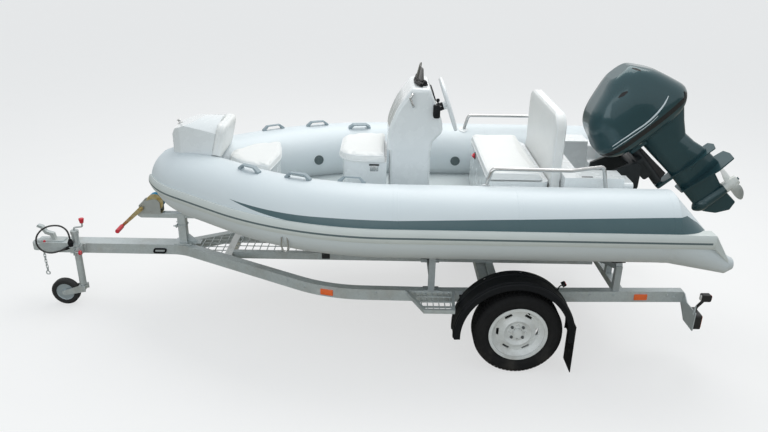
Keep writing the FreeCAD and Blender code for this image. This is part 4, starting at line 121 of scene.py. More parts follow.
def tree_of(mesh):
    """A mesh's faces in a tree that rays and nearest places can be asked of."""
    return BVHTree.FromPolygons([v.co for v in mesh.vertices], [p.vertices for p in mesh.polygons])


def skin(name):
    """The solid's faces, ready for rays."""
    if name not in trees:
        trees[name] = tree_of(nodes[name].data)
    return trees[name]


def touch(name, start, way):
    """Where a ray meets a solid, and how the surface faces there."""
    place, facing, _, _ = skin(name).ray_cast(Vector(start), Vector(way).normalized())
    if place is None:
        raise ValueError(f"no surface of {name} from {tuple(start)}")
    return place, facing if facing.dot(Vector(way)) < 0 else -facing


def seen(across, down, *names):
    """The nearest of the named solids behind a pixel of the photograph."""
    right, lower = across - PHOTO[0] / 2, down - PHOTO[1] / 2
    way = (ahead_of_lens * FOCAL + to_right * right - to_top * lower).normalized()
    found = [(skin(name).ray_cast(camera_place, way), name) for name in names]
    found = [(hit[3], hit[0], hit[1]) for hit, name in found if hit[0] is not None]
    if not found:  # a pixel just beside the solid: the surface nearest to the ray
        steps = [camera_place + way * (3 + k / 50) for k in range(200)]
        hits = [skin(name).find_nearest(step) for name in names for step in steps]
        found = [(hit[3], hit[0], hit[1]) for hit in hits]
    _, place, facing = min(found, key=lambda item: item[0])
    return place, facing if facing.dot(way) < 0 else -facing


def standing(place, facing, up=(0, 0, 1)):
    """The turn and place that stand a fitting on a surface: its z faces out, its y points up."""
    out = Vector(facing).normalized()
    side = Vector(up).cross(out)
    if side.length < 1e-3:
        side = Vector((1, 0, 0)).cross(out)
    side.normalize()
    return Matrix.Translation(place) @ Matrix((side, out.cross(side), out)).transposed().to_4x4()


# %% [markdown]
# ## The lighting cable
# One free cable leaves a clip on the drawbar, makes a single loop and is parked in a socket beside
# the jockey wheel. It is stiff, so it makes one round bend with no kink. A smooth spline with the
# route's points as its control points gives that line, and the spline's own bevel gives the sheath.

# %% Cable
CABLE_ROUTE = [
    (3112, 70, 428), (3170, 76, 404), (3232, 88, 396), (3284, 100, 428),
    (3302, 108, 484), (3284, 117, 544), (3240, 127, 594), (3188, 135, 626),
    (3134, 142, 640), (3078, 147, 638), (3034, 150, 597), (3034, 150, 538),
]


def evaluated(thing):
    """The mesh of an object with its curve's bevel or its modifiers worked out."""
    return bpy.data.meshes.new_from_object(thing.evaluated_get(bpy.context.evaluated_depsgraph_get()))


cable_curve = bpy.data.curves.new("trailer_cable_line", "CURVE")
cable_curve.dimensions = "3D"
cable_line = cable_curve.splines.new("NURBS")
cable_line.points.add(len(CABLE_ROUTE) - 1)
for point, (ahead, port, up) in zip(cable_line.points, CABLE_ROUTE):
    point.co = (*at(ahead, port, up), 1)
cable_line.order_u = 3
cable_line.use_endpoint_u = True
cable_line.resolution_u = 10
lighting_cable = bpy.data.objects.new("lighting_cable", cable_curve)
bpy.context.scene.collection.objects.link(lighting_cable)
bpy.context.view_layer.update()
line_mesh = evaluated(lighting_cable)
cable_path = [v.co.copy() for v in line_mesh.vertices]
cable_long = sum((b - a).length for a, b in zip(cable_path, cable_path[1:]))
cable_curve.bevel_depth = 0.006
cable_curve.bevel_resolution = 4
cable_curve.use_fill_caps = True
print("cable", round(cable_long, 3), "m")

# %% [markdown]
# ## A notation for node trees
# Shader maths is easier to read as sums than as boxes and links. A small class holds a socket and
# overloads the operators, and each of them adds one Math node. Everything else goes through a
# single method that takes a node's type, its settings and the values of its sockets.

# %% Sockets as numbers
class Wire:
    """One output socket, which adds, multiplies and compares like a number."""

    def __init__(self, sheet, socket):
        self.sheet, self.socket = sheet, socket

    def maths(self, operation, other=0.0, turned=False):
        pair = (other, self) if turned else (self, other)
        return self.sheet.node("ShaderNodeMath", {"operation": operation}, {0: pair[0], 1: pair[1]})

    def __add__(self, other): return self.maths("ADD", other)
    def __sub__(self, other): return self.maths("SUBTRACT", other)
    def __rsub__(self, other): return self.maths("SUBTRACT", other, True)
    def __mul__(self, other): return self.maths("MULTIPLY", other)
    def __truediv__(self, other): return self.maths("DIVIDE", other)
    def __pow__(self, other): return self.maths("POWER", other)
    def __gt__(self, other): return self.maths("GREATER_THAN", other)
    def __lt__(self, other): return self.maths("LESS_THAN", other)
    def __abs__(self): return self.maths("ABSOLUTE")

    def most(self, other): return self.maths("MAXIMUM", other)

    def ease(self, low, high, to_low=0.0, to_high=1.0):
        """A soft step from one value to another as this one goes from low to high."""
        return self.sheet.node("ShaderNodeMapRange", {"interpolation_type": "SMOOTHSTEP"},
                               {0: self, 1: low, 2: high, 3: to_low, 4: to_high})


class Sheet:
    """A node tree that grows by one node a call."""

    def __init__(self, tree):
        self.tree = tree

    def node(self, kind, settings=None, values=None, out=0):
        made = self.tree.nodes.new(kind)
        for name, value in (settings or {}).items():
            setattr(made, name, value)
        for key, value in (values or {}).items():
            if isinstance(value, Wire):
                self.tree.links.new(value.socket, made.inputs[key])
            else:
                made.inputs[key].default_value = value
        return Wire(self, made.outputs[out]) if len(made.outputs) else made


# %% [markdown]
# ## A finish
# Every finish on this boat is one Principled shader fed by patterns on Object coordinates. The
# pieces all keep their place in their mesh, so those coordinates are metres in the boat's own frame
# and a pattern has its real size. Gloss that is the same all over is set on the shader's sockets.

# %% Finish helper
class Finish(Sheet):
    """A material: its shader, the place on the boat, and the patterns that vary over it."""

    def __init__(self, name, **fixed):
        self.material = bpy.data.materials.new(name)
        self.material.use_nodes = True
        super().__init__(self.material.node_tree)
        self.tree.nodes.clear()
        self.shader = self.tree.nodes.new("ShaderNodeBsdfPrincipled")
        end = self.tree.nodes.new("ShaderNodeOutputMaterial")
        self.tree.links.new(self.shader.outputs[0], end.inputs[0])
        for words, value in fixed.items():
            self.shader.inputs[words.replace("_", " ").title().replace("Ior", "IOR")].default_value = value
        self.place = self.node("ShaderNodeTexCoord", out=3)
        split = self.node("ShaderNodeSeparateXYZ", values={0: self.place})
        self.x, self.y, self.z = (Wire(self, socket) for socket in split.socket.node.outputs)

    def noise(self, scale, detail=2.0, rough=0.5, stretch=None):
        values = {"Vector": self.spread(stretch), "Scale": scale, "Detail": detail, "Roughness": rough}
        return self.node("ShaderNodeTexNoise", None, values)

    def cells(self, scale, feature="F1", out=0, stretch=None):
        return self.node("ShaderNodeTexVoronoi", {"feature": feature},
                         {"Vector": self.spread(stretch), "Scale": scale}, out)

    def spread(self, stretch):
        """The place, stretched along one way, for streaks."""
        if stretch is None:
            return self.place
        return self.node("ShaderNodeVectorMath", {"operation": "MULTIPLY"}, {0: self.place, 1: stretch})

    def blend(self, first, second, share):
        """A colour between two others."""
        full = [c if isinstance(c, Wire) else (*c, 1.0) for c in (first, second)]
        return self.node("ShaderNodeMix", {"data_type": "RGBA"}, {0: share, 6: full[0], 7: full[1]}, 2)

    def relief(self, height, strength, depth):
        """A bump of the given depth in metres."""
        values = {"Strength": strength, "Distance": depth, "Height": height}
        if getattr(self, "bumps", None):
            values["Normal"] = self.bumps
        self.bumps = self.node("ShaderNodeBump", None, values)

    def done(self, colour, roughness, **more):
        feeds = {"Base Color": colour, "Roughness": roughness, **more}
        if getattr(self, "bumps", None):
            feeds["Normal"] = self.bumps
        for name, value in feeds.items():
            if isinstance(value, Wire):
                self.tree.links.new(value.socket, self.shader.inputs[name])
            else:
                self.shader.inputs[name].default_value = (*value, 1.0) if name == "Base Color" else value
        return self.material


finishes = {}


def dust(finish, colour, amount, low=0.0, high=1.2):
    """Road dust that gathers low on the trailer and thins towards the top."""
    patches = finish.noise(7, 4, 0.6).ease(0.42, 0.72)
    share = patches * (1 - finish.z.ease(low, high)) * amount
    return finish.blend(colour, (0.33, 0.30, 0.25), share)


# %% [markdown]
# ## Metal finishes
# Hot dip galvanising leaves a dull blue-grey skin of zinc crystals, the spangle, about a
# centimetre across, with paler bloom on it. The winch is zinc plated and passivated yellow, the
# rails are polished stainless, and the wheels and the front beam are enamelled white.

# %% Metals
f = Finish("galvanised_zinc", specular_ior_level=0.5)
spangle = f.cells(95, out=1)
grey = f.node("ShaderNodeRGBToBW", None, {0: spangle})
bloom = f.noise(5.5, 5, 0.62)
fine = f.noise(420, 2, 0.5)
tone = f.blend((0.42, 0.47, 0.48), (0.60, 0.64, 0.64), grey * 0.45 + bloom * 0.55)
tone = f.blend(tone, (0.74, 0.76, 0.75), f.noise(16, 6, 0.7).ease(0.56, 0.80) * 0.55)
f.relief(f.cells(95) * 0.5 + fine * 0.5, 0.25, 0.0006)
finishes["galvanised_steel"] = f.done(dust(f, tone, 0.45), grey * 0.10 + bloom * 0.16 + 0.36, Metallic=0.38)

f = Finish("white_enamel", coat_weight=0.35, coat_roughness=0.12)
chips = f.noise(34, 6, 0.7).ease(0.68, 0.74)
orange = f.noise(260, 1, 0.4)
tone = f.blend((0.80, 0.81, 0.80), (0.72, 0.73, 0.71), f.noise(9, 4, 0.6))
tone = f.blend(tone, (0.36, 0.33, 0.29), chips * 0.35)
f.relief(orange - chips * 0.6, 0.18, 0.0005)
finishes["white_steel"] = f.done(dust(f, tone, 0.55, 0.0, 0.7), f.noise(14, 3).ease(0.3, 0.7, 0.24, 0.40))

f = Finish("polished_stainless")
brushed = f.noise(90, 3, 0.6, (1, 6, 6))
tone = f.blend((0.40, 0.41, 0.41), (0.56, 0.57, 0.57), brushed)
f.relief(brushed, 0.08, 0.0002)
finishes["stainless"] = f.done(tone, f.noise(22, 4, 0.6).ease(0.35, 0.75, 0.14, 0.32), Metallic=0.95)

f = Finish("yellow_zinc", metallic=0.75)
tint = f.noise(38, 4, 0.6)
tone = f.blend((0.46, 0.34, 0.12), (0.52, 0.46, 0.28), tint.ease(0.35, 0.65))
tone = f.blend(tone, (0.50, 0.30, 0.30), f.noise(70, 3).ease(0.55, 0.72) * 0.35)
tone = f.blend(tone, (0.30, 0.29, 0.27), f.noise(26, 5, 0.7).ease(0.60, 0.78) * 0.5)
cheeks = (abs(f.y) > 0.0372) * (abs(f.y) < 0.0428)
tone = f.blend(tone, (0.44, 0.47, 0.47), cheeks)
f.relief(f.noise(500, 2), 0.15, 0.0003)
finishes["winch_zinc"] = f.done(tone, tint.ease(0.2, 0.8, 0.26, 0.46))

# %% [markdown]
# ## Rubber and moulded plastic
# Tyres and pads are dull black rubber with fine mould marks and pale dust in the low places. The
# mudguards are moulded plastic with a pebbled grain, scuffed grey where feet meet them. The bump
# patterns are small cells, because a mould's grain is cells and not waves.

# %% Rubbers and plastics
f = Finish("tyre_rubber", specular_ior_level=0.12)
grain = f.noise(700, 2)
tone = f.blend((0.009, 0.009, 0.010), (0.020, 0.020, 0.020), f.noise(24, 5, 0.65))
f.relief(grain, 0.3, 0.0005)
finishes["tyre"] = f.done(dust(f, tone, 0.09, 0.0, 0.45), grain * 0.12 + f.noise(18, 3) * 0.2 + 0.58)


def moulded(name, dark, pale, pebble, roughness, **fixed):
    """Grained plastic or rubber: pebbles, soft blotches and small scuffs."""
    f = Finish(name, **fixed)
    blotch = f.noise(13, 4, 0.6)
    scuffs = f.noise(48, 6, 0.75, (1, 1, 3)).ease(0.60, 0.80)
    tone = f.blend(f.blend(dark, pale, blotch), [min(1, c * 2.2 + 0.03) for c in pale], scuffs * 0.35)
    f.relief(f.cells(pebble) * 0.7 + f.noise(pebble * 2.2, 1) * 0.3, 0.35, 0.35 / pebble)
    return f.done(tone, blotch * 0.12 + scuffs * 0.14 + roughness)


finishes["black_plastic"] = moulded("pebbled_black_plastic", (0.005, 0.006, 0.007), (0.010, 0.011, 0.013),
                                    520, 0.46, specular_ior_level=0.15)
MOULDED = {  # slot: name, dark colour, pale colour, pebbles in a metre, roughness
    "bunk_rubber": ("ribbed_black_rubber", (0.016, 0.016, 0.017), (0.028, 0.028, 0.028), 300, 0.60),
    "lamp_plastic": ("lamp_housing_black", (0.014, 0.014, 0.015), (0.024, 0.024, 0.026), 700, 0.36),
    "cable_rubber": ("cable_sheath", (0.014, 0.014, 0.015), (0.022, 0.022, 0.023), 900, 0.38),
    "handle_rubber": ("grey_handle_rubber", (0.25, 0.31, 0.34), (0.34, 0.40, 0.43), 600, 0.44),
}
for slot, look in MOULDED.items():
    finishes[slot] = moulded(*look)

f = Finish("rubbing_strake_rubber")
blotch = f.noise(6, 5, 0.6)
fluting = (f.z * 900).maths("SINE")
inlay = (abs(f.z - 0.9575) < 0.0062) * (f.x > -1.872)
tone = f.blend(f.blend((0.60, 0.64, 0.62), (0.69, 0.72, 0.70), blotch), (0.11, 0.15, 0.16), inlay)
tone = f.blend(tone, (0.42, 0.42, 0.38), f.noise(30, 6, 0.75, (0.4, 1, 1)).ease(0.60, 0.80) * 0.45)
f.relief(fluting * 0.12 + f.noise(400, 2) * 0.5 - inlay * 0.9, 0.3, 0.0009)
finishes["strake_rubber"] = f.done(tone, blotch * 0.15 + 0.42)


def coloured(name, colour, roughness=0.3, coat=0.2, **fixed):
    """Plain moulded plastic in one colour, sun-faded in patches, with fine scratches."""
    f = Finish(name, coat_weight=coat, **fixed)
    fade = f.noise(60, 4, 0.6)
    scratch = f.noise(300, 3, 0.7, (1, 5, 1)).ease(0.62, 0.75)
    tone = f.blend(colour, [min(1, c * 1.25 + 0.015) for c in colour], fade)
    tone = f.blend(tone, [min(1, c * 0.7) for c in colour], scratch * 0.3)
    f.relief(f.noise(800, 2) + scratch, 0.12, 0.0003)
    return f.done(tone, fade * 0.12 + scratch * 0.1 + roughness)


RED = coloured("red_grip_plastic", (0.55, 0.012, 0.030), 0.34)
RED_LENS = coloured("red_lamp_lens", (0.48, 0.010, 0.012), 0.12, 0.8)
AMBER_LENS = coloured("amber_reflector", (0.85, 0.12, 0.010), 0.14, 0.8)
CLEAR_LENS = coloured("white_lamp_lens", (0.62, 0.60, 0.58), 0.12, 0.8)
DARK_GREY = coloured("valve_grey_plastic", (0.085, 0.115, 0.118), 0.45, 0.0)
BLACK_GLOSS = coloured("black_gloss_plastic", (0.006, 0.007, 0.008), 0.20, 0.3)
BLACK_MATT = coloured("black_matt_plastic", (0.004, 0.004, 0.005), 0.60, 0.0)
SILVER = coloured("silver_strip", (0.66, 0.72, 0.75), 0.25, 0.3)
# Dark zinc that also paints shade: on the wheel bolts it stands for the shade in their holes, and on the
# disc inside each wheel for the shade seen through the rim's slots.
DARK_ZINC_AND_SHADE = coloured("dark_zinc_and_painted_shade", (0.070, 0.076, 0.078), 0.42, 0.0)
print(len(finishes), "finishes so far")

# %% [markdown]
# ## The collar's coated fabric
# The tubes are polyester cloth under a smooth pale coating, so the weave only just shows. A slate
# stripe is printed along each side. It runs to a point at the bow and is cut off at a slant at the
# stern. The outer side is told from the inner one by its distance from the middle of the tube's
# bend.

# %% Collar
SHOULDER, BEND_CENTRE, BEND_RADIUS = 0.8, 0.88, 1.73  # where and round what the tube bends, in metres
STRIPE_LOW, STRIPE_WIDE, STRIPE_TIP = 0.999, 0.052, 1.78  # its lower edge, its width, and its point's place
f = Finish("coated_tube_fabric", specular_ior_level=0.45, sheen_weight=0.15, sheen_roughness=0.5)
ahead = f.x - AXLE
past_shoulder = (ahead - SHOULDER).most(0)
from_bend = (past_shoulder * past_shoulder + (abs(f.y) + BEND_CENTRE) ** 2.0) ** 0.5
outer_side = from_bend > BEND_RADIUS
bow_rise = ((ahead - 1.25).most(0) / 0.53) ** 2.0 * 0.054
low_edge = bow_rise + STRIPE_LOW
narrowing = 1 - ((ahead - 0.75).most(0) / 1.03) ** 3.0
wide = narrowing * STRIPE_WIDE + (0.75 - ahead).most(0) * 0.026
slant = ahead > (1.093 - f.z) * -1.53 - 0.890
stripe = outer_side * slant * (f.z > low_edge) * (f.z < low_edge + wide) * (ahead < STRIPE_TIP)
warp = (f.x * 5200).maths("SINE") * (f.z * 5200).maths("SINE")
mottle = f.noise(3.2, 4, 0.55)
base = f.blend((0.66, 0.72, 0.75), (0.72, 0.77, 0.79), mottle)
# Painted shade: the lower part of the tube is painted greyer and less blue than its top.
base = f.blend(base, (0.60, 0.62, 0.61), (1 - f.z.ease(0.76, 0.98)) * 0.55)
grime = f.noise(11, 6, 0.7, (0.35, 1, 1)).ease(0.60, 0.82) * (1 - f.z.ease(0.80, 1.10))
base = f.blend(base, (0.50, 0.48, 0.43), grime * 0.35)
slate = f.blend((0.050, 0.105, 0.120), (0.068, 0.128, 0.142), f.noise(9, 4, 0.6))
f.relief(f.noise(2.4, 2, 0.4), 0.25, 0.006)
f.relief(warp * 0.4 + f.noise(900, 1) * 0.6, 0.16, 0.0004)
finishes["collar_fabric"] = f.done(f.blend(base, slate, stripe), mottle * 0.12 + 0.34 - stripe * 0.06)

# %% [markdown]
# ## Gelcoat, deck and vinyl
# Hull, lockers and console are moulded in white gelcoat, a glossy resin skin that is never quite
# flat and is duller where water runs off it. The deck has the same resin with a non-slip pattern
# of small raised cells. The seats are white vinyl with a leather grain.

# %% Boat surfaces
f = Finish("white_gelcoat", coat_weight=0.45, coat_roughness=0.08)
waves = f.noise(7, 2, 0.4)
runs = f.noise(15, 5, 0.7, (1, 1, 0.30)).ease(0.56, 0.84)
tone = f.blend((0.76, 0.79, 0.80), (0.82, 0.84, 0.84), f.noise(2.5, 3, 0.5))
tone = f.blend(tone, (0.52, 0.51, 0.46), runs * (1 - f.z.ease(0.62, 0.90)) * 0.20)
f.relief(waves, 0.12, 0.004)
f.relief(f.noise(320, 2), 0.05, 0.0003)
finishes["gelcoat"] = f.done(tone, f.noise(10, 4, 0.6).ease(0.3, 0.8, 0.20, 0.36))

f = Finish("non_slip_deck", coat_weight=0.15, coat_roughness=0.2)
studs = f.cells(230, "SMOOTH_F1").ease(0.15, 0.55)
walked = f.noise(4, 4, 0.6)
tone = f.blend((0.50, 0.56, 0.58), (0.57, 0.62, 0.63), walked)
tone = f.blend(tone, (0.40, 0.42, 0.41), studs * 0.30)
f.relief(1 - studs, 0.45, 0.0012)
finishes["deck"] = f.done(tone, walked * 0.15 + 0.36)

f = Finish("white_vinyl", specular_ior_level=0.5, coat_weight=0.1, coat_roughness=0.3)
grain = f.cells(620, "DISTANCE_TO_EDGE").ease(0.0, 0.28)
soft = f.noise(9, 4, 0.6)
tone = f.blend((0.83, 0.83, 0.81), (0.77, 0.78, 0.77), soft)
tone = f.blend(tone, (0.62, 0.61, 0.57), f.noise(28, 6, 0.75).ease(0.62, 0.82) * 0.25)
f.relief(f.noise(14, 3, 0.5), 0.20, 0.003)
f.relief(grain, 0.22, 0.0005)
finishes["cushion"] = f.done(tone, soft * 0.12 + 0.36)
PIPING = coloured("vinyl_piping", (0.74, 0.75, 0.75), 0.34, 0.2)

f = Finish("smoked_screen", coat_weight=0.25, coat_roughness=0.03, specular_ior_level=0.3)
smear = f.noise(26, 5, 0.7)
tone = f.blend((0.004, 0.006, 0.006), (0.012, 0.016, 0.017), smear.ease(0.45, 0.8))
f.relief(f.noise(5, 2), 0.05, 0.002)
finishes["smoked_glass"] = f.done(tone, smear.ease(0.3, 0.8, 0.04, 0.14), Alpha=(1 - smear) * 0.06 + 0.90)
finishes["smoked_glass"].surface_render_method = "BLENDED"

# %% [markdown]
# ## Engine paint and strap
# The outboard's cowl is sprayed a dark teal metallic under clear lacquer, with a black rubber seal
# above the pan. Its brackets and bare castings are satin black, the propeller is white, and the
# winch strap is blue webbing. The flake is a very fine cell pattern that changes the metal's share.

# %% Engine and strap
f = Finish("engine_lacquer", coat_weight=0.45, coat_roughness=0.06, specular_ior_level=0.3)
flake = f.node("ShaderNodeRGBToBW", None, {0: f.cells(1500, out=1)})
cloud = f.noise(5, 3, 0.5)
tone = f.blend((0.016, 0.052, 0.062), (0.028, 0.076, 0.088), flake * 0.6 + cloud * 0.4)
pivot, tilt = at(-837, 0, 1137), math.radians(41)
up_the_leg = (f.x - pivot.x) * math.sin(tilt) + (f.z - pivot.z) * math.cos(tilt)
seal = (up_the_leg > 0.170) * (up_the_leg < 0.205)
tone = f.blend(tone, (0.012, 0.013, 0.014), seal)
tone = f.blend(tone, (0.16, 0.16, 0.15), f.noise(60, 6, 0.8).ease(0.70, 0.80) * 0.35)
f.relief(f.noise(9, 2), 0.06, 0.003)
finishes["engine_paint"] = f.done(tone, cloud * 0.10 + 0.24 + seal * 0.3, Metallic=flake * 0.25 + 0.10)

f = Finish("engine_satin_black", specular_ior_level=0.25)
cast = f.noise(210, 3, 0.6)
rubbed = f.noise(42, 6, 0.75).ease(0.62, 0.78)
tone = f.blend((0.014, 0.017, 0.019), (0.030, 0.035, 0.038), f.noise(20, 4))
tone = f.blend(tone, (0.15, 0.16, 0.16), rubbed * 0.3)
f.relief(cast, 0.3, 0.0006)
finishes["engine_black"] = f.done(tone, cast * 0.15 + 0.34, Metallic=rubbed * 0.4)

f = Finish("propeller_white", coat_weight=0.3, coat_roughness=0.15)
worn = f.noise(70, 6, 0.8).ease(0.66, 0.76)
tone = f.blend((0.78, 0.79, 0.76), (0.70, 0.72, 0.69), f.noise(16, 4))
tone = f.blend(tone, (0.42, 0.44, 0.43), worn * 0.5)
f.relief(f.noise(240, 2) - worn * 0.5, 0.15, 0.0004)
finishes["prop_white"] = f.done(tone, worn * 0.2 + 0.24)

f = Finish("blue_webbing")
ribs = (f.y * 2600).maths("SINE") * 0.5 + 0.5
picks = (f.x * 3600 + f.z * 3600).maths("SINE") * 0.5 + 0.5
tone = f.blend((0.010, 0.24, 0.46), (0.045, 0.40, 0.62), ribs * 0.5 + picks * 0.5)
tone = f.blend(tone, (0.20, 0.30, 0.34), f.noise(40, 5, 0.7).ease(0.58, 0.80) * 0.4)
f.relief(ribs * picks, 0.5, 0.0008)
finishes["strap_webbing"] = f.done(tone, ribs * 0.10 + 0.62)

# %% [markdown]
# ## Two finishes on one solid
# The rear lamp's plate is galvanised while its box is black, one of the bunk brackets is painted
# black, and the jockey wheel has a grey rim in its black tyre. A second material slot isn't needed:
# the place on the piece decides which of two looks shows.

# %% Mixed finishes
def two_looks(name, near, far, mask_of, rough=(0.45, 0.45), metal=(0.0, 0.0)):
    """One look where the mask is 0 and another where it is 1."""
    f = Finish(name)
    mask = mask_of(f)
    blotch = f.noise(28, 5, 0.65)
    first = f.blend(near, [c * 0.7 for c in near], blotch)
    second = f.blend(far, [c * 1.2 for c in far], blotch)
    f.relief(f.cells(300) * 0.5 + f.noise(420, 2) * 0.5, 0.25, 0.0005)
    return f.done(f.blend(first, second, mask), mask * (rough[1] - rough[0]) + rough[0] + blotch * 0.12,
                  Metallic=mask * (metal[1] - metal[0]) + metal[0])


BLACK, ZINC, RIM = (0.010, 0.011, 0.012), (0.46, 0.50, 0.51), (0.34, 0.39, 0.41)
rail_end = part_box("side_rails")[0].x
jockey_axle = at(3152, 96, 100)


def on_lamp_plate(f):
    return f.x > rail_end - 0.0058


def on_black_bracket(f):
    return abs(f.x - at(1245, 0, 0).x) < 0.06


def on_jockey_rim(f):
    return ((f.x - jockey_axle.x) ** 2.0 + (f.z - jockey_axle.z) ** 2.0) < 0.064 ** 2


own_looks = {
    "rear_lamps": two_looks("lamp_and_plate", BLACK, ZINC, on_lamp_plate, (0.40, 0.45), (0, 0.35)),
    "bunk_brackets": two_looks("bracket_zinc_and_black", ZINC, BLACK, on_black_bracket, (0.45, 0.40),
                               (0.35, 0)),
    "jockey_wheel": two_looks("jockey_rubber_and_rim", BLACK, RIM, on_jockey_rim, (0.60, 0.40), (0, 0.4)),
}

# %% Dress the solids
for row in frame["record"]["subparts"]:
    for holder in nodes[row["node"]].material_slots:
        holder.material = own_looks.get(row["node"], finishes[row["material_slot"]])
lighting_cable.data.materials.append(finishes["cable_rubber"])
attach(lighting_cable, "root")
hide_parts("trailer_cable")
print("dressed", len(nodes), "solids in", len(finishes), "finishes")

# %% [markdown]
# ## Building a fitting in mesh code
# Small fittings are turned, or are plates with rounded corners, or bars bent along a path. Each
# maker gives a mesh that stands on z = 0. `fit` puts copies of it in their places, joins them into
# one piece with its origin at the frame's, and lets it ride on a body.

# %% Mesh makers
def closed(name, bm):
    """A mesh whose doubles are merged and whose faces all point outwards."""
    bmesh.ops.remove_doubles(bm, verts=bm.verts, dist=1e-6)
    bmesh.ops.recalc_face_normals(bm, faces=bm.faces)
    mesh = bpy.data.meshes.new(name)
    bm.to_mesh(mesh)
    bm.free()
    return mesh


def loft(name, rings, caps=True):
    """Skin over rings of places. A ring of one place is a pole."""
    bm = bmesh.new()
    rows = [[bm.verts.new(place) for place in ring] for ring in rings]
    for low, high in zip(rows, rows[1:]):
        for i in range(max(len(low), len(high))):
            j = i + 1
            around = [low[i % len(low)], low[j % len(low)], high[j % len(high)], high[i % len(high)]]
            corners = list(dict.fromkeys(around))
            if len(corners) > 2:
                bm.faces.new(corners)
    for row in (rows[0], rows[-1]):
        if caps and len(row) > 2:
            bm.faces.new(row)
    return closed(name, bm)


def full_turn(steps):
    """Evenly spaced angles all round."""
    return [2 * math.pi * k / steps for k in range(steps)]


def turned(name, profile, steps=28, caps=True):
    """A part turned round z. The profile is (radius, height) in millimetres."""
    rings = []
    for radius, height in profile:
        if radius < 1e-6:
            rings.append([Vector((0, 0, height / 1000))])
            continue
        rings.append([Vector((radius * math.cos(a), radius * math.sin(a), height)) / 1000
                      for a in full_turn(steps)])
    return loft(name, rings, caps)


def plate(name, wide, tall, deep, corner, rim=1.0, steps=5):
    """A plate with rounded corners and a rounded upper edge, in millimetres."""
    rings = []
    for height, inset in ((0, 0), (deep - rim, 0), (deep - 0.3 * rim, 0.3 * rim), (deep, rim)):
        ring = []
        radius = max(corner - inset, 0.2)
        for quarter, (sx, sy) in enumerate(((1, 1), (-1, 1), (-1, -1), (1, -1))):
            centre = Vector((sx * (wide / 2 - inset - radius), sy * (tall / 2 - inset - radius), height))
            for i in range(steps + 1):
                a = math.pi / 2 * (quarter + i / steps)
                ring.append((centre + Vector((radius * math.cos(a), radius * math.sin(a), 0))) / 1000)
        rings.append(ring)
    return loft(name, rings)


def fit(name, parts, body, slot, finish=None, crease=38):
    """Copies of meshes, each at its placing, as one piece that rides on a body."""
    bm = bmesh.new()
    for mesh, placing in parts:
        start = len(bm.verts)
        bm.from_mesh(mesh)
        bm.verts.ensure_lookup_table()
        fresh = bm.verts[start:]
        bmesh.ops.transform(bm, matrix=placing, verts=fresh)
        if placing.determinant() < 0:
            inside_out = dict.fromkeys(face for vert in fresh for face in vert.link_faces)
            bmesh.ops.reverse_faces(bm, faces=list(inside_out))
    whole = bpy.data.meshes.new(name)
    bm.to_mesh(whole)
    bm.free()
    return piece(name, whole, body, slot, finish, crease)


def put(name, mesh, placings, slot, finish=None, body="root"):
    """Copies of one mesh, as one piece that stands still unless another body is named."""
    return fit(name, [(mesh, placing) for placing in placings], body, slot, finish)


def piece(name, mesh, body, slot, finish=None, crease=38):
    """A mesh as one shown piece. Its finish is its slot's own, unless another is given."""
    mesh.materials.clear()
    mesh.materials.append(finish or finishes[slot])
    mesh.shade_smooth()
    mesh.set_sharp_from_angle(angle=math.radians(crease))
    thing = bpy.data.objects.new(name, mesh)
    bpy.context.scene.collection.objects.link(thing)
    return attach(thing, body)


ACROSS = Matrix.Diagonal((1, -1, 1, 1))


def both(placing):
    """A placing and its mirror on the other side of the boat."""
    return [placing, ACROSS @ placing]


def pixel_pairs(pixels, name):
    """Standing places on a solid behind pixels, each with its mirror on the other side."""
    return [placing for pixel in pixels for placing in both(standing(*seen(*pixel, name)))]


def onto(name, ahead, port, up, way):
    """The standing place where a ray from a spot in millimetres meets a solid."""
    return standing(*touch(name, at(ahead, port, up), way))


# %% [markdown]
# ## Geometry Nodes for what repeats
# Nuts, bolts, stitches, chain links and tread blocks are one small shape many times over, and
# piping follows a path. A node tree with named inputs makes each kind, and its result is turned
# into a plain mesh straight away.

# %% Node trees for repeats and paths
def node_tree(name, **inputs):
    """A geometry tree with a geometry input and named inputs, and the wires that come from them."""
    group = bpy.data.node_groups.new(name, "GeometryNodeTree")
    group.interface.new_socket("Geometry", in_out="INPUT", socket_type="NodeSocketGeometry")
    for label, kind in inputs.items():
        group.interface.new_socket(label, in_out="INPUT", socket_type="NodeSocket" + kind)
    group.interface.new_socket("Geometry", in_out="OUTPUT", socket_type="NodeSocketGeometry")
    sheet = Sheet(group)
    entry = group.nodes.new("NodeGroupInput")
    return group, sheet, {socket.name: Wire(sheet, socket) for socket in entry.outputs if socket.name}


def tree_end(group, sheet, geometry, finish):
    """Every tree ends in real geometry with its finish."""
    real = sheet.node("GeometryNodeRealizeInstances", None, {0: geometry})
    painted = sheet.node("GeometryNodeSetMaterial", None, {"Geometry": real, "Material": finish})
    group.links.new(painted.socket, group.nodes.new("NodeGroupOutput").inputs[0])
    return group


def grown(name, mesh, group, **values):
    """The mesh that a tree makes from another mesh, with its inputs set by their identifiers."""
    thing = bpy.data.objects.new(name, mesh)
    bpy.context.scene.collection.objects.link(thing)
    modifier = thing.modifiers.new("grow", "NODES")
    modifier.node_group = group
    for item in group.interface.items_tree:
        if item.in_out == "INPUT" and item.name in values:
            modifier[item.identifier] = values[item.name]
    bpy.context.view_layer.update()
    made = evaluated(thing)
    thing.modifiers.remove(modifier)
    bpy.data.objects.remove(thing)
    return made


def hidden(name, mesh):
    """An object that only serves as a tree's repeated shape."""
    thing = bpy.data.objects.new(name, mesh)
    bpy.context.scene.collection.objects.link(thing)
    return thing


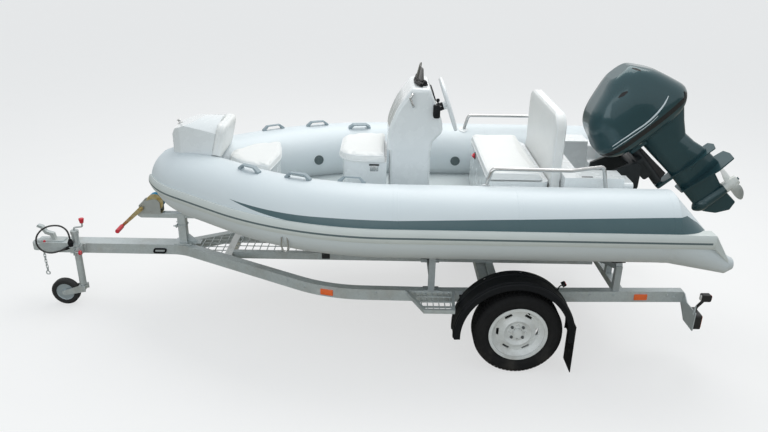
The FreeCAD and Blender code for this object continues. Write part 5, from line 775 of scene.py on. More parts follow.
group, g, wire = node_tree("fasteners", Fastener="Object", Size="Float", Seed="Int", Finish="Material")
facing = g.node("GeometryNodeInputNamedAttribute", {"data_type": "FLOAT_VECTOR"}, {"Name": "facing"})
upright_turn = g.node("FunctionNodeAlignRotationToVector", {"axis": "Z"}, {"Vector": facing})
spin = g.node("FunctionNodeRandomValue", {"data_type": "FLOAT"},
              {"Min": 0.0, "Max": 6.28, "Seed": wire["Seed"]}, 1)
twist = g.node("FunctionNodeAxisAngleToRotation", None, {"Axis": (0, 0, 1), "Angle": spin})
turned_way = g.node("FunctionNodeRotateRotation", {"rotation_space": "LOCAL"},
                    {"Rotation": upright_turn, "Rotate By": twist})
shape = g.node("GeometryNodeObjectInfo", None, {"Object": wire["Fastener"]}, 4)
copies = g.node("GeometryNodeInstanceOnPoints", None,
                {"Points": wire["Geometry"], "Instance": shape, "Rotation": turned_way,
                 "Scale": wire["Size"]})
FASTENERS = tree_end(group, g, copies, wire["Finish"])

group, g, wire = node_tree("bar_on_path", Radius="Float", Sides="Int", Finish="Material")
line = g.node("GeometryNodeMeshToCurve", None, {0: wire["Geometry"]})
ring = g.node("GeometryNodeCurvePrimitiveCircle", {"mode": "RADIUS"},
              {"Resolution": wire["Sides"], "Radius": wire["Radius"]})
sweep = g.node("GeometryNodeCurveToMesh", None, {"Curve": line, "Profile Curve": ring, "Fill Caps": True})
BAR = tree_end(group, g, sweep, wire["Finish"])

group, g, wire = node_tree("repeats_on_path", Shape="Object", Pitch="Float", Quarter="Float",
                           Finish="Material")
line = g.node("GeometryNodeMeshToCurve", None, {0: wire["Geometry"]})
spots = g.node("GeometryNodeCurveToPoints", {"mode": "LENGTH"}, {"Curve": line, "Length": wire["Pitch"]})
tangent = Wire(g, spots.socket.node.outputs["Tangent"])
along = g.node("FunctionNodeAlignRotationToVector", {"axis": "X"}, {"Vector": tangent})
number = g.node("GeometryNodeInputIndex")
twist = g.node("FunctionNodeAxisAngleToRotation", None,
               {"Axis": (1, 0, 0), "Angle": number * wire["Quarter"]})
turned_way = g.node("FunctionNodeRotateRotation", {"rotation_space": "LOCAL"},
                    {"Rotation": along, "Rotate By": twist})
shape = g.node("GeometryNodeObjectInfo", None, {"Object": wire["Shape"]}, 4)
copies = g.node("GeometryNodeInstanceOnPoints", None,
                {"Points": spots, "Instance": shape, "Rotation": turned_way})
REPEATS = tree_end(group, g, copies, wire["Finish"])

group, g, wire = node_tree("tread_round_tyre", Block="Object", Count="Int", Finish="Material")
spots = g.node("GeometryNodeMeshLine", None, {"Count": wire["Count"], "Offset": (0, 0, 0)})
share = g.node("GeometryNodeInputIndex") / wire["Count"] * (2 * math.pi)
turned_way = g.node("FunctionNodeAxisAngleToRotation", None, {"Axis": (0, 0, 1), "Angle": share})
shape = g.node("GeometryNodeObjectInfo", None, {"Object": wire["Block"]}, 4)
copies = g.node("GeometryNodeInstanceOnPoints", None,
                {"Points": spots, "Instance": shape, "Rotation": turned_way})
joined = g.node("GeometryNodeJoinGeometry", None, {0: copies})
group.links.new(wire["Geometry"].socket, joined.socket.node.inputs[0])
TREAD = tree_end(group, g, joined, wire["Finish"])


def path_mesh(places, loop=False):
    """Places joined by edges, and closed if it is a loop."""
    mesh = bpy.data.meshes.new("path")
    count = len(places)
    edges = [(i, (i + 1) % count) for i in range(count if loop else count - 1)]
    mesh.from_pydata([tuple(place) for place in places], edges, [])
    return mesh


def rounded(places, radius, steps=6, loop=False):
    """A path with its corners rounded, for a bar that was bent in a press. Radius is in metres."""
    places = [Vector(place) for place in places]
    count = len(places)
    path = [] if loop else [places[0]]
    shares = [k / steps for k in range(steps + 1)]
    for i in range(0 if loop else 1, count if loop else count - 1):
        before, here, after = places[i - 1], places[i], places[(i + 1) % count]
        back, on = (before - here), (after - here)
        cut = min(radius, 0.45 * back.length, 0.45 * on.length)
        first, last = here + back.normalized() * cut, here + on.normalized() * cut
        path += [first.lerp(here, t).lerp(here.lerp(last, t), t) for t in shares]
    return path if loop else path + [places[-1]]


def bar(path, radius, finish, bend=0.012, sides=10, loop=False):
    """One round bar bent along a path, with radius and bend in metres."""
    line = path_mesh(rounded(path, bend, loop=loop), loop)
    return grown("bar", line, BAR, Radius=radius, Sides=sides, Finish=finish)


def bars(name, paths, radius, body, slot, finish=None, **more):
    """Round bars as one piece."""
    finish = finish or finishes[slot]
    return fit(name, [(bar(path, radius, finish, **more), Matrix()) for path in paths], body, slot, finish)


def fasteners(name, shape, places, body, slot, finish=None, size=1.0, seed=3):
    """One fastener at many standing places."""
    finish = finish or finishes[slot]
    mesh = bpy.data.meshes.new("places")
    mesh.from_pydata([placing.translation[:] for placing in places], [], [])
    ways = mesh.attributes.new("facing", "FLOAT_VECTOR", "POINT")
    for i, placing in enumerate(places):
        ways.data[i].vector = placing.col[2].xyz
    source = hidden("shape", shape)
    made = grown(name, mesh, FASTENERS, Fastener=source, Size=size, Seed=seed, Finish=finish)
    bpy.data.objects.remove(source)
    print(name, len(places), "of them")
    return piece(name, made, body, slot, finish)


# %% [markdown]
# ## Road tyres
# A tyre is a turned carcass with ribs moulded in its sidewall, and rows of tread blocks with
# grooves between them. The blocks are one slice of the tread, repeated round the wheel by a tree.
# Ray tests on the solid wheel aren't needed here, since both share the wheel's axis.

# %% Tyres
def tread_slice(rows, long, top, floor, count):
    """One slice of tread: a slanted block for each row, from groove floor to crown."""
    bm = bmesh.new()
    step = 2 * math.pi / count
    for low, high, skew, drop in rows:
        places = []
        for radius in (floor, top):
            for along in (-0.5, 0.5):
                for across in (low, high):
                    angle = step * (long * along + skew * (across - low) / (high - low))
                    outer = abs(across) == max(abs(low), abs(high))
                    fall = drop if outer or radius != top else 0
                    r = (radius - fall) / 1000
                    places.append(bm.verts.new((r * math.cos(angle), r * math.sin(angle), across / 1000)))
        for corners in ((0, 1, 3, 2), (4, 6, 7, 5), (0, 4, 5, 1), (2, 3, 7, 6), (0, 2, 6, 4), (1, 5, 7, 3)):
            bm.faces.new([places[i] for i in corners])
    bmesh.ops.recalc_face_normals(bm, faces=bm.faces)
    mesh = bpy.data.meshes.new("tread_slice")
    bm.to_mesh(mesh)
    bm.free()
    return mesh


WHEEL_UP = 278  # height of the wheels' axis, in millimetres
bead, lip = 168, 188.5
side_wall = [(bead, 62.5), (lip, 65.5), (193, 71), (196, 72), (198, 75), (210, 78.4),
             (213, 79.8), (216, 79.8), (218, 79.0), (230, 81.3), (238, 80.8), (240, 81.2),
             (243, 81.0), (244, 79.6), (256, 75.2), (263, 71), (268, 64), (270.5, 56)]
carcass = [(r, -y) for r, y in side_wall] + [(270.5, 0)] + [(r, y) for r, y in reversed(side_wall)]
rows = [(-66, -47, 0.25, 6), (-43, -24, -0.2, 1), (-20, -3, 0.2, 0),
        (3, 20, -0.2, 0), (24, 43, 0.2, 1), (47, 66, -0.25, 6)]
slice_shape = hidden("tread", tread_slice(rows, 0.80, 277.9, 269.5, 66))
body_mesh = turned("carcass", carcass, 96, caps=False)
tyre_mesh = grown("tyre", body_mesh, TREAD, Block=slice_shape, Count=66, Finish=finishes["tyre"])
bpy.data.objects.remove(slice_shape)
for side, port in (("port", 797), ("starboard", -797)):
    axis = Matrix.Translation(at(0, port, WHEEL_UP)) @ Matrix.Rotation(math.radians(-90), 4, "X")
    tyre = fit(side + "_road_tyre", [(tyre_mesh, axis)], side + "_wheel", "tyre", crease=30)
    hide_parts(side + "_tyre")
print("tyre", len(tyre_mesh.polygons), "faces")

# %% [markdown]
# ## Wheel studs and caps
# Each wheel is held by four bolts round a greased hub with a pressed cap. The bolts have hexagon
# heads with a cone under them, and are dark to paint the shade in their holes. The rim carries its
# tyre valve, and a dark disc on the side of the axle paints the shade seen through the rim's slots.

# %% Wheel fastenings
STUDS = 49  # radius of the stud circle, in millimetres
hexagon = turned("hexagon", [(10.5, 0), (10.5, 1.5), (8.6, 3.5), (8.6, 11), (7.6, 12.5), (0, 12.5)], 6)
cap = turned("hub_cap", [(27, 0), (27, 10), (25, 13), (25, 24), (22, 29), (15, 32), (0, 33.5)], 32)
stem = turned("valve_stem", [(5, 0), (5, 10), (3.6, 13), (3.2, 24), (4.2, 25), (4.2, 31), (0, 32)], 12)
for side, sign in (("port", 1), ("starboard", -1)):
    spots = []
    for k in range(4):
        a = math.radians(45 + 90 * k)
        outward = Vector((math.cos(a), 0, math.sin(a)))
        spot = at(STUDS * math.cos(a), sign * 1000, WHEEL_UP + STUDS * math.sin(a))
        face, _ = touch(side + "_wheel", spot + outward * 0.0105, (0, -sign, 0))
        spots.append(standing(Vector((spot.x, face.y, spot.z)), (0, sign, 0)))
    fasteners(side + "_wheel_bolts", hexagon, spots, side + "_wheel", "stainless", DARK_ZINC_AND_SHADE)
    face, _ = touch(side + "_wheel", at(36, sign * 1000, WHEEL_UP), (0, -sign, 0))
    middle_place = standing(Vector((at(0, 0, 0).x, face.y - sign * 0.008, WHEEL_UP / 1000)), (0, sign, 0))
    # A dark disc inboard of each wheel paints the shade that shows through the rim's slots.
    shade_disc = turned("wheel_shade_disc", [(45, 0), (146, 0), (150, 3), (150, 7), (146, 10), (45, 12)], 48)
    inside = middle_place.copy()
    inside.translation.y = math.copysign(0.728, middle_place.translation.y)
    fit(side + "_dust_cover", [(shade_disc, inside)], "root", "galvanised_steel", DARK_ZINC_AND_SHADE)
    fit(side + "_hub_cap", [(cap, middle_place)], side + "_wheel", "galvanised_steel")
    a = math.radians(112)
    spot = at(150 * math.cos(a), sign * 1000, WHEEL_UP + 150 * math.sin(a))
    face, _ = touch(side + "_wheel", spot, (0, -sign, 0))
    fit(side + "_tyre_valve", [(stem, standing(face, (0, sign, 0.25)))], side + "_wheel", "black_plastic")

# %% [markdown]
# ## Padded seats
# The seat pads and backrests are vinyl sewn over foam, so they are crowned, their edges are round
# and their sides pull in between the corners. Each starts as a slightly smaller copy of its solid,
# remeshed in even cells. Cloth with a little pressure then fills it out, and the side that lies on
# its seat is held flat. All of them are simulated at once, to save time.

# %% Start the pads
SOFT = {  # solid: voxel in metres, and the body it rides on
    "bow_cushion": (0.007, "bow_seat_lid"),
    "console_seat_lid": (0.0065, "console_seat_lid"),
    "rear_cushion": (0.0085, "rear_seat_lid"),
    "backrest": (0.0085, "root"),
    "bow_backrest": (0.007, "root"),
}
FILL, CAP = 4.0, 0.006  # pressure, and how far a place may move, in metres


def start_pad(name, voxel):
    """A smaller, evenly meshed copy of a solid, with its resting side marked as held."""
    bm = bmesh.new()
    bm.from_mesh(nodes[name].data)
    bmesh.ops.remove_doubles(bm, verts=bm.verts, dist=2e-5)
    mesh = bpy.data.meshes.new(name + "_pad")
    bm.to_mesh(mesh)
    bm.free()
    low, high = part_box(name)
    middle, size = (low + high) / 2, high - low
    for vert in mesh.vertices:
        vert.co = middle + Vector([(vert.co - middle)[i] * (1 - 0.006 / size[i]) for i in range(3)])
    thing = bpy.data.objects.new(name + "_pad", mesh)
    bpy.context.scene.collection.objects.link(thing)
    thing.modifiers.new("cells", "REMESH").mode = "VOXEL"
    thing.modifiers["cells"].voxel_size = voxel * 1
    bpy.context.view_layer.update()
    even = evaluated(thing)
    thing.modifiers.clear()
    thing.data = even
    if name == "backrest":  # its upper corners are well rounded
        corner = 0.13
        for vert in even.vertices:
            out, up = abs(vert.co.y) - (high.y - corner), vert.co.z - (high.z - corner)
            if out > 0 and up > 0 and math.hypot(out, up) > corner:
                shrink = corner / math.hypot(out, up)
                vert.co.y = math.copysign(high.y - corner + out * shrink, vert.co.y)
                vert.co.z = high.z - corner + up * shrink
    held = thing.vertex_groups.new(name="held")
    flat = low.z + 0.010 if "backrest" not in name else low.z + 0.030
    held.add([v.index for v in even.vertices if v.co.z < flat], 1.0, "REPLACE")
    return thing


pads = {name: start_pad(name, voxel) for name, (voxel, _) in SOFT.items()}
print({name: len(pad.data.vertices) for name, pad in pads.items()}, "cells")

# %% Fill the pads
def blow_up(things, frames=20):
    """Cloth with pressure on every pad, stepped together, with a cap on how far a place moves."""
    for thing in things:
        cloth = thing.modifiers.new("fill", "CLOTH")
        cloth.settings.use_pressure = True
        cloth.settings.uniform_pressure_force = FILL
        cloth.settings.effector_weights.gravity = 0
        cloth.settings.vertex_group_mass = "held"
        cloth.settings.quality = 4
        cloth.settings.bending_stiffness = 12.0
        cloth.point_cache.frame_end = frames
    for number in range(1, frames + 1):
        bpy.context.scene.frame_set(number)
    for thing in things:
        filled = evaluated(thing)
        for vert, after in zip(thing.data.vertices, filled.vertices):
            move = after.co - vert.co
            vert.co += move * min(1.0, CAP / max(move.length, 1e-9))
        thing.modifiers.clear()
    bpy.context.scene.frame_set(1)


blow_up(pads.values())

# %% [markdown]
# ## Seams and piping
# The panels of a pad are sewn together over a thin cord, the piping. It runs round the pad's edge
# a little below its top, and the sewing pulls the vinyl in. A plane through the pad finds the line
# of the seam, the places near it are drawn in, and a tree lays the piping and the stitches on it.

# %% Seams
def seam_line(mesh, point, normal, spacing=0.012):
    """The longest closed line where a plane cuts a mesh, with even spacing."""
    bm = bmesh.new()
    bm.from_mesh(mesh)
    everything = bm.verts[:] + bm.edges[:] + bm.faces[:]
    cut = bmesh.ops.bisect_plane(bm, geom=everything, plane_co=point, plane_no=normal)
    # A dict keeps the edges in their order, so the seam starts at the same place in each run.
    edges = {item: True for item in cut["geom_cut"] if isinstance(item, bmesh.types.BMEdge)}
    loops = []
    while edges:
        edge = next(iter(edges))
        del edges[edge]
        line, here = [edge.verts[0].co.copy(), edge.verts[1].co.copy()], edge.verts[1]
        while True:
            following = [item for item in here.link_edges if item in edges]
            if not following:
                break
            del edges[following[0]]
            here = following[0].other_vert(here)
            line.append(here.co.copy())
        loops.append(line)
    bm.free()
    line = max(loops, key=len)
    long = sum((b - a).length for a, b in zip(line, line[1:]))
    count = round(long / spacing)
    places, covered, k = [], 0.0, 0
    for i in range(count):
        want = long * i / count
        while covered + (line[k + 1] - line[k]).length < want:
            covered += (line[k + 1] - line[k]).length
            k += 1
        share = (want - covered) / max((line[k + 1] - line[k]).length, 1e-9)
        places.append(line[k].lerp(line[k + 1], share))
    return [(places[i - 1] + places[i] * 2 + places[(i + 1) % count]) / 4 for i in range(count)]


def pinch(mesh, point, normal, deep=0.0018, reach=0.010):
    """Draws the surface in beside a seam."""
    for vert in mesh.vertices:
        away = abs((vert.co - point).dot(normal)) / reach
        if away < 1:
            vert.co -= vert.normal * deep * (1 - away * away) ** 2


UP = Vector((0, 0, 1))
lean = math.radians(14.5)
seam_planes = {}
for name in ("bow_cushion", "console_seat_lid", "rear_cushion"):
    low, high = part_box(name)
    seam_planes[name] = [(Vector((low.x + high.x, low.y + high.y, 2 * high.z - 0.026)) / 2, UP),
                         (Vector((low.x + high.x, low.y + high.y, 2 * low.z + 0.028)) / 2, UP)]
low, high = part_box("backrest")
seam_planes["backrest"] = [(Vector((high.x - 0.014, 0, (low.z + high.z) / 2)), Vector((1, 0, 0))),
                           (Vector((low.x + 0.014, 0, (low.z + high.z) / 2)), Vector((1, 0, 0)))]
low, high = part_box("bow_backrest")
across = Vector((math.cos(lean), 0, math.sin(lean)))
seam_planes["bow_backrest"] = [((low + high) / 2, across)]
stitch = turned("stitch", [(0, -2.4), (0.9, -1.6), (0.9, 1.6), (0, 2.4)], 5)
stitch.transform(Matrix.Rotation(math.radians(90), 4, "Y"))
stitch_shape = hidden("stitch_shape", stitch)
for name, pad in pads.items():
    body = SOFT[name][1]
    for point, normal in seam_planes[name]:
        pinch(pad.data, point, normal)
    pad.modifiers.new("finer", "SUBSURF").levels = 1
    pad.modifiers["finer"].render_levels = pad.modifiers["finer"].levels
    bpy.context.view_layer.update()
    fine_mesh = evaluated(pad)
    bpy.data.objects.remove(pad)
    padded = piece(name + "_padded", fine_mesh, body, "cushion", crease=180)
    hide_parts(name)
    pipes, threads = [], []
    for point, normal in seam_planes[name]:
        line = seam_line(fine_mesh, point, normal)
        pipes.append(grown("piping", path_mesh(line, True), BAR, Radius=0.0032, Sides=8, Finish=PIPING))
        tree = tree_of(fine_mesh)
        beside = [tree.find_nearest(place + normal * 0.008)[0] for place in line]
        threads.append(grown("stitches", path_mesh(beside, True), REPEATS, Shape=stitch_shape, Pitch=0.0085,
                             Quarter=0.0, Finish=PIPING))
    fit(name + "_piping", [(mesh, Matrix()) for mesh in pipes], body, "cushion", PIPING)
    fit(name + "_stitches", [(mesh, Matrix()) for mesh in threads], body, "cushion", PIPING)
    print(name, len(fine_mesh.polygons), "faces,", len(pipes), "seams")
bpy.data.objects.remove(stitch_shape)

# %% [markdown]
# ## Fittings of the collar
# Each chamber is filled through a valve with a dark cap, on the inner side of the tube. The tubes
# are closed by bands of the same fabric glued over their joints, and the feet of the stern rails
# stand on moulded pads. A tape lies on the tube, so it is a thin ring a little larger than it.

# %% Valves, bands and rail pads
valve = turned("valve", [(36, 0), (36, 2.2), (34, 3.6), (30, 3.6), (29, 1.6), (21, 1.6), (20, 4.2),
                         (8, 4.8), (7, 3.8), (0, 3.8)], 32)
spots = pixel_pairs(VALVES, "side_tubes")
put("inflation_valves", valve, spots, "black_plastic", DARK_GREY)

TUBE, TUBE_PORT, TUBE_UP = 220, 720, 964  # the side tube's radius and middle, in millimetres


def band(ahead, long=34):
    """A tape round the tube, with its edges let into the tube's skin."""
    rings = []
    for along, extra in ((-long / 2, -0.6), (-long / 2 + 1, 0.9), (long / 2 - 1, 0.9), (long / 2, -0.6)):
        radius = TUBE + extra
        rings.append([at(ahead + along, TUBE_PORT + radius * math.cos(a), TUBE_UP + radius * math.sin(a))
                      for a in full_turn(72)])
    return loft("band", rings, caps=False)


bands = [(band(ahead), placing) for ahead in (-826, 60, 776) for placing in both(Matrix())]
fit("tube_joint_bands", bands, "root", "collar_fabric")

pad = turned("rail_pad", [(34, 0), (34, 2), (28, 5), (17, 6), (15, 9), (0, 9)], 28)
spots = []
for ahead, port in ((240, 635), (-520, 560)):
    spots += both(onto("side_tubes", ahead, port, 1500, (0, 0, -1)))
put("stern_rail_pads", pad, spots, "gelcoat")

# %% [markdown]
# ## Fittings of the seats and the console
# The console seat is kept shut by a black latch over a steel plate. A red battery switch sits on
# the bench's front, and a dark drain slot in the well. The bow seat has a pull, and the bow locker
# a small fairlead. All but the pull stand on the surface behind their pixel of the photograph.

# %% Latches, switch, slot and fairlead
latch_place = standing(*seen(*SEAT_LATCH, "console_seat"))
latch_plate = plate("latch_plate", 54, 44, 2.4, 6, 0.8)
latch_boss = turned("latch_boss", [(10, 0), (10, 6), (8, 8), (5, 8), (4, 6), (0, 6)], 20)
latch_bar = plate("latch_bar", 66, 9, 9, 4, 2.5)
fit("seat_latch_plate", [(latch_plate, latch_place),
                         (latch_boss, latch_place @ Matrix.Translation((0, 0.002, 0.002)))],
    "root", "stainless")
bar_place = latch_place @ Matrix.Translation((0, 0.022, 0))
put("seat_latch_bar", latch_bar, [bar_place], "black_plastic")
pull = turned("pull", [(19, 0), (19, 1.5), (16.5, 3.5), (14, 3), (12, 0.8), (0, 0.8)], 28)
pull_place = onto("bow_seat", 1300, 150, 1020, (1, 0, 0))
put("bow_seat_pull", pull, [pull_place @ Matrix.Diagonal((0.8, 1.3, 1, 1))], "stainless")

switch = standing(*seen(*BATTERY_SWITCH, "rear_bench"))
switch.translation.z -= 0.017  # clear of the lid above
switch_plate = turned("switch_plate", [(27, 0), (27, 3), (25, 4.5), (0, 4.5)], 32)
put("battery_switch_plate", switch_plate, [switch], "black_plastic")
fit("battery_switch", [(turned("knob", [(18, 4), (18, 12), (16, 16), (0, 17)], 20), switch),
                       (plate("key", 32, 9, 24, 3, 2), switch)], "root", "lamp_plastic", RED)

slot_place = standing(*seen(*DRAIN_SLOT, "splash_well"), up=(0, -1, 0))
slot_rim = plate("slot_rim", 70, 13, 2.4, 5, 1.0)
put("well_drain_slot", slot_rim, [slot_place], "black_plastic", BLACK_GLOSS)
fairlead = turned("fairlead", [(20, 0), (20, 2), (10, 5), (7, 12), (9, 20), (15, 24), (13, 28), (0, 29)], 24)
fairlead_place = standing(*seen(*FAIRLEAD, "bow_locker", "bow_backrest"))
put("bow_fairlead", fairlead, [fairlead_place], "stainless")

# %% [markdown]
# ## Instruments and screen
# Behind the wheel are two round gauges with plain tick marks, a row of rocker switches and the
# ignition key. The smoked screen is held by screws along its foot.

# %% Dash
def dash(port, up):
    """A standing place on the console's face behind the wheel, in millimetres."""
    return onto("console", -200, port, up, (1, 0, 0))


bezel = turned("bezel", [(34, 0), (34, 5), (31, 8), (28, 8), (27, 5), (0, 5)], 32)
glass = turned("gauge_face", [(27, 4.4), (27, 5.6), (0, 6.2)], 28)
tick = plate("tick", 1.2, 5, 0.5, 0.3, 0.1, 2)
gauges = [dash(port, 1585) for port in (-95, 95)]
put("gauge_bezels", bezel, gauges, "black_plastic")
put("gauge_faces", glass, gauges, "black_plastic", BLACK_GLOSS)
ticks = []
for place in gauges:
    for k in range(13):
        a = math.radians(-120 + 20 * k)
        ticks.append((tick, place @ Matrix.Rotation(a, 4, "Z") @ Matrix.Translation((0, 0.0205, 0.0056))))
fit("gauge_ticks", ticks, "root", "gelcoat", CLEAR_LENS)
rocker = plate("rocker", 17, 27, 6, 2.5, 1.8)
panel = dash(0, 1590)
fit("switch_panel", [(plate("switch_panel", 92, 42, 3, 5, 1), panel)]
    + [(rocker, panel @ Matrix.Translation((x / 1000, 0, 0.002)) @ Matrix.Rotation(math.radians(7), 4, "X"))
       for x in (-32, -11, 11, 32)], "root", "black_plastic")
key = dash(150, 1520)
put("ignition_lock", turned("lock", [(14, 0), (14, 3), (11, 6), (0, 6)], 24), [key], "stainless")
put("ignition_key", plate("key_grip", 22, 4, 28, 1.5, 1), [key], "black_plastic", BLACK_GLOSS)

# The throttle lever stands on a small box on the console's side, and the compass behind the screen.
box_mesh = plate("box", 44, 84, 34, 12, 5)
box_place = standing(at(519, 215.4, 1516), (0, 1, 0))
lever = [at(519, 239, 1520), at(511, 239, 1556), at(515, 239, 1578)]
lever_mesh = bar(lever, 0.0048, finishes["black_plastic"], bend=0.02)
ball = turned("lever_knob", [(0, -13), (8, -11), (11.5, -3), (11.5, 3), (9, 9), (0, 12)], 24)
hinge = turned("lever_hinge", [(17, 33), (17, 36), (14, 37.5), (0, 37.5)], 28)
compass_place = Matrix.Translation(at(604, 100, 1655.3))
compass = turned("compass", [(31, 0), (31, 6), (27, 10), (27, 14), (25, 22), (19, 29), (10, 33),
                             (0, 34)], 32)
fittings = fit("throttle_and_compass", [(box_mesh, box_place), (lever_mesh, Matrix()), (hinge, box_place),
                                        (ball, Matrix.Translation(lever[-1] + Vector((0, 0, 0.012)))),
                                        (compass, compass_place)],
               "root", "black_plastic")
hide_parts("helm_fittings")

screw = turned("pan_screw", [(5.5, 0), (5.5, 1.4), (4, 2.8), (1.2, 3.2), (1.0, 2.2), (0, 2.2)], 12)
screen_low, screen_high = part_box("windscreen")


def on_screen(port, height):
    """Where a ray from ahead meets the screen, millimetres to port and metres above its foot."""
    start = Vector((screen_high.x + 0.2, port / 1000, screen_low.z + height))
    return touch("windscreen", start, (-1, 0, 0))


spots = [standing(*on_screen(port, 0.014)) for port in (-140, -84, -28, 28, 84, 140)]
fasteners("screen_screws", screw, spots, "root", "stainless")

# %% [markdown]
# ## Lamps and reflectors
# Amber reflectors are let into the rails' sides, fore and aft. The rear lamps have a red and an
# amber glass in a black box, and the marker on its rubber stalk shows white forward and red aft.
# A lens has small prisms inside, which here are left to the fine noise in its bump.

# %% Lamps
reflector = plate("reflector", 84, 40, 7, 4, 1.6)
spots = pixel_pairs(REFLECTORS, "side_rails")
put("side_reflectors", reflector, spots, "lamp_plastic", AMBER_LENS)
red_glass, amber_glass = plate("red_glass", 62, 86, 6, 9, 2.5), plate("amber_glass", 40, 86, 6, 9, 2.5)
reds, ambers, whites = [], [], []
for placing in both(onto("rear_lamps", -1400, 750, 350, (1, 0, 0))):
    out = 1 if placing.translation.y > 0 else -1
    turn_way = placing.to_3x3() @ Vector((1, 0, 0))
    side = 1 if turn_way.y * out > 0 else -1
    reds.append((red_glass, placing @ Matrix.Translation((-0.024 * side, 0, -0.001))))
    ambers.append((amber_glass, placing @ Matrix.Translation((0.032 * side, 0, -0.001))))
marker_glass = plate("marker_glass", 24, 34, 4, 8, 2)
reds += [(marker_glass, placing) for placing in both(onto("rear_lamps", -1400, 816, 534, (1, 0, 0)))]
whites += [(marker_glass, placing) for placing in both(onto("rear_lamps", -800, 816, 534, (-1, 0, 0)))]
fit("red_lamp_glasses", reds, "root", "lamp_plastic", RED_LENS)
fit("amber_lamp_glasses", ambers, "root", "lamp_plastic", AMBER_LENS)
fit("white_marker_glasses", whites, "root", "lamp_plastic", CLEAR_LENS)

# Side markers stand on short arms behind each mudguard.
arm_foot = onto("mudguards", -240, 760, 1000, (0, 0, -1)).translation
arm = [arm_foot + Vector(step) for step in ((0, 0, -0.004), (-0.004, 0, 0.020), (-0.020, 0, 0.034))]
bars("side_marker_arms", [arm, [ACROSS @ place for place in arm]], 0.004, "root", "black_plastic")
marker_box = plate("marker_box", 36, 26, 24, 8, 3)
heads = both(standing(arm[-1], (-0.85, 0, 0.5)))
put("side_marker_boxes", marker_box, heads, "black_plastic")
small_glass = plate("small_glass", 28, 20, 4, 6, 1.6)
on_top = Matrix.Translation((0, 0, 0.0235))
put("side_marker_glasses", small_glass, [placing @ on_top for placing in heads], "lamp_plastic", RED_LENS)

# %% [markdown]
# ## Grips, clamps and chain
# Hands take hold of the red plastic: the jockey wheel's crank knob, its clamp, the winch handle
# and the coupling's button. Under the coupling hangs the breakaway chain with its hook. Links are
# one bent ring, turned by a quarter from each to the next.

# %% Trailer fittings
# Corners of the bars that are bent here, in metres from the place that each hangs from or stands on.
LINK = ((-0.014, -0.007, 0), (0.014, -0.007, 0), (0.014, 0.007, 0), (-0.014, 0.007, 0))
CHAIN = ((0, 0.004, 0.004), (-0.001, 0.008, -0.09), (-0.004, 0.008, -0.172))
HOOK = ((0, 0.004), (0, -0.010), (0.013, -0.018), (0.013, -0.040), (-0.011, -0.040),
        (-0.011, -0.022), (-0.003, -0.016))
RING = ((0.018, 0.012), (0.022, -0.050), (0.006, -0.082), (-0.014, -0.078), (-0.020, -0.045),
        (-0.014, 0.012))
LOOP_CORNERS = ((-0.044, -0.014), (0.038, -0.014), (0.046, 0.015), (-0.036, 0.015))
GRIP_AHEAD, GRIP_PORT = 2688, 116  # the middle of the winch's grip, in millimetres

knob = turned("crank_knob", [(0, 0), (9, 0), (12.8, 3), (15.0, 16), (18.2, 31), (17.2, 35.5),
                             (9, 37.4), (0, 37.6)], 28)
put("jockey_crank_knob", knob, [Matrix.Translation(at(2958, 96, 641))], "lamp_plastic", RED)
sleeve = turned("clamp_sleeve", [(0, 0), (15.5, 0), (16.4, 2), (16.4, 13), (15, 15.4), (0, 15.4)], 10)
put("jockey_clamp_grip", sleeve, [standing(at(2991, 138, 430), (-1, 0, 0))], "lamp_plastic", RED)

grip_top, _ = touch("winch", at(GRIP_AHEAD, GRIP_PORT, 760), (0, 0, -1))
grip_low, _ = touch("winch", at(GRIP_AHEAD, GRIP_PORT, 500), (0, 0, 1))
grip_radius = (grip_top.z - grip_low.z) / 2 * 1000
grip_up = (grip_top.z + grip_low.z) / 2 * 1000
ribs = [(0, -1.5), (grip_radius + 1.2, -1)]
for k in range(12):
    ribs += [(grip_radius + 2.4, 6 + 7 * k), (grip_radius + 1.2, 9.5 + 7 * k)]
ribs += [(grip_radius + 2.6, 92), (grip_radius + 1.0, 96.4), (0, 97)]
put("winch_grip", turned("winch_grip", ribs, 24), [standing(at(GRIP_AHEAD, 69, grip_up), (0, 1, 0))],
    "lamp_plastic", RED)

layers = [(39, -24)]
for k in range(9):
    layers += [(57.5 - 0.4 * (k % 2), -24 + 5.9 * k), (56.6 - 0.4 * (k % 3), -21.2 + 5.4 * k)]
layers += [(57, 24.5), (39, 24.5)]
put("strap_coil", turned("strap_coil", layers, 40), [standing(at(2450, 0, 782), (0, 1, 0))],
    "strap_webbing")

button = turned("button", [(8, 0), (8, 7), (6, 10), (0, 10.5)], 20)
button_place = standing(*seen(*COUPLING_BUTTON, "coupling", "coupling_handle"))
put("coupling_button", button, [button_place], "lamp_plastic", RED)

ring = rounded(LINK, 0.007, 4, True)
link = grown("link", path_mesh(ring, True), BAR, Radius=0.0028, Sides=6, Finish=finishes["galvanised_steel"])
link_shape = hidden("link_shape", link)
hang = skin("coupling").find_nearest(at(3250, 80, 420))[0]
drop = [hang + Vector(step) for step in CHAIN]
chain = grown("chain", path_mesh(drop), REPEATS, Shape=link_shape, Pitch=0.021, Quarter=math.pi / 2,
              Finish=finishes["galvanised_steel"])
bpy.data.objects.remove(link_shape)
put("breakaway_chain", chain, [Matrix()], "galvanised_steel")
hook = [drop[-1] + Vector((x, 0, z)) for x, z in HOOK]
bars("chain_hook", [hook], 0.0040, "root", "galvanised_steel", bend=0.010)

# A tie ring hangs from the hull's side just below the collar.
ring_place, _ = seen(*TIE_RING, "hull", "bow_tube", "side_tubes")
loop = [ring_place + Vector((x, 0.006, z)) for x, z in RING]
bars("tie_ring", [loop], 0.0045, "root", "stainless", bend=0.014)

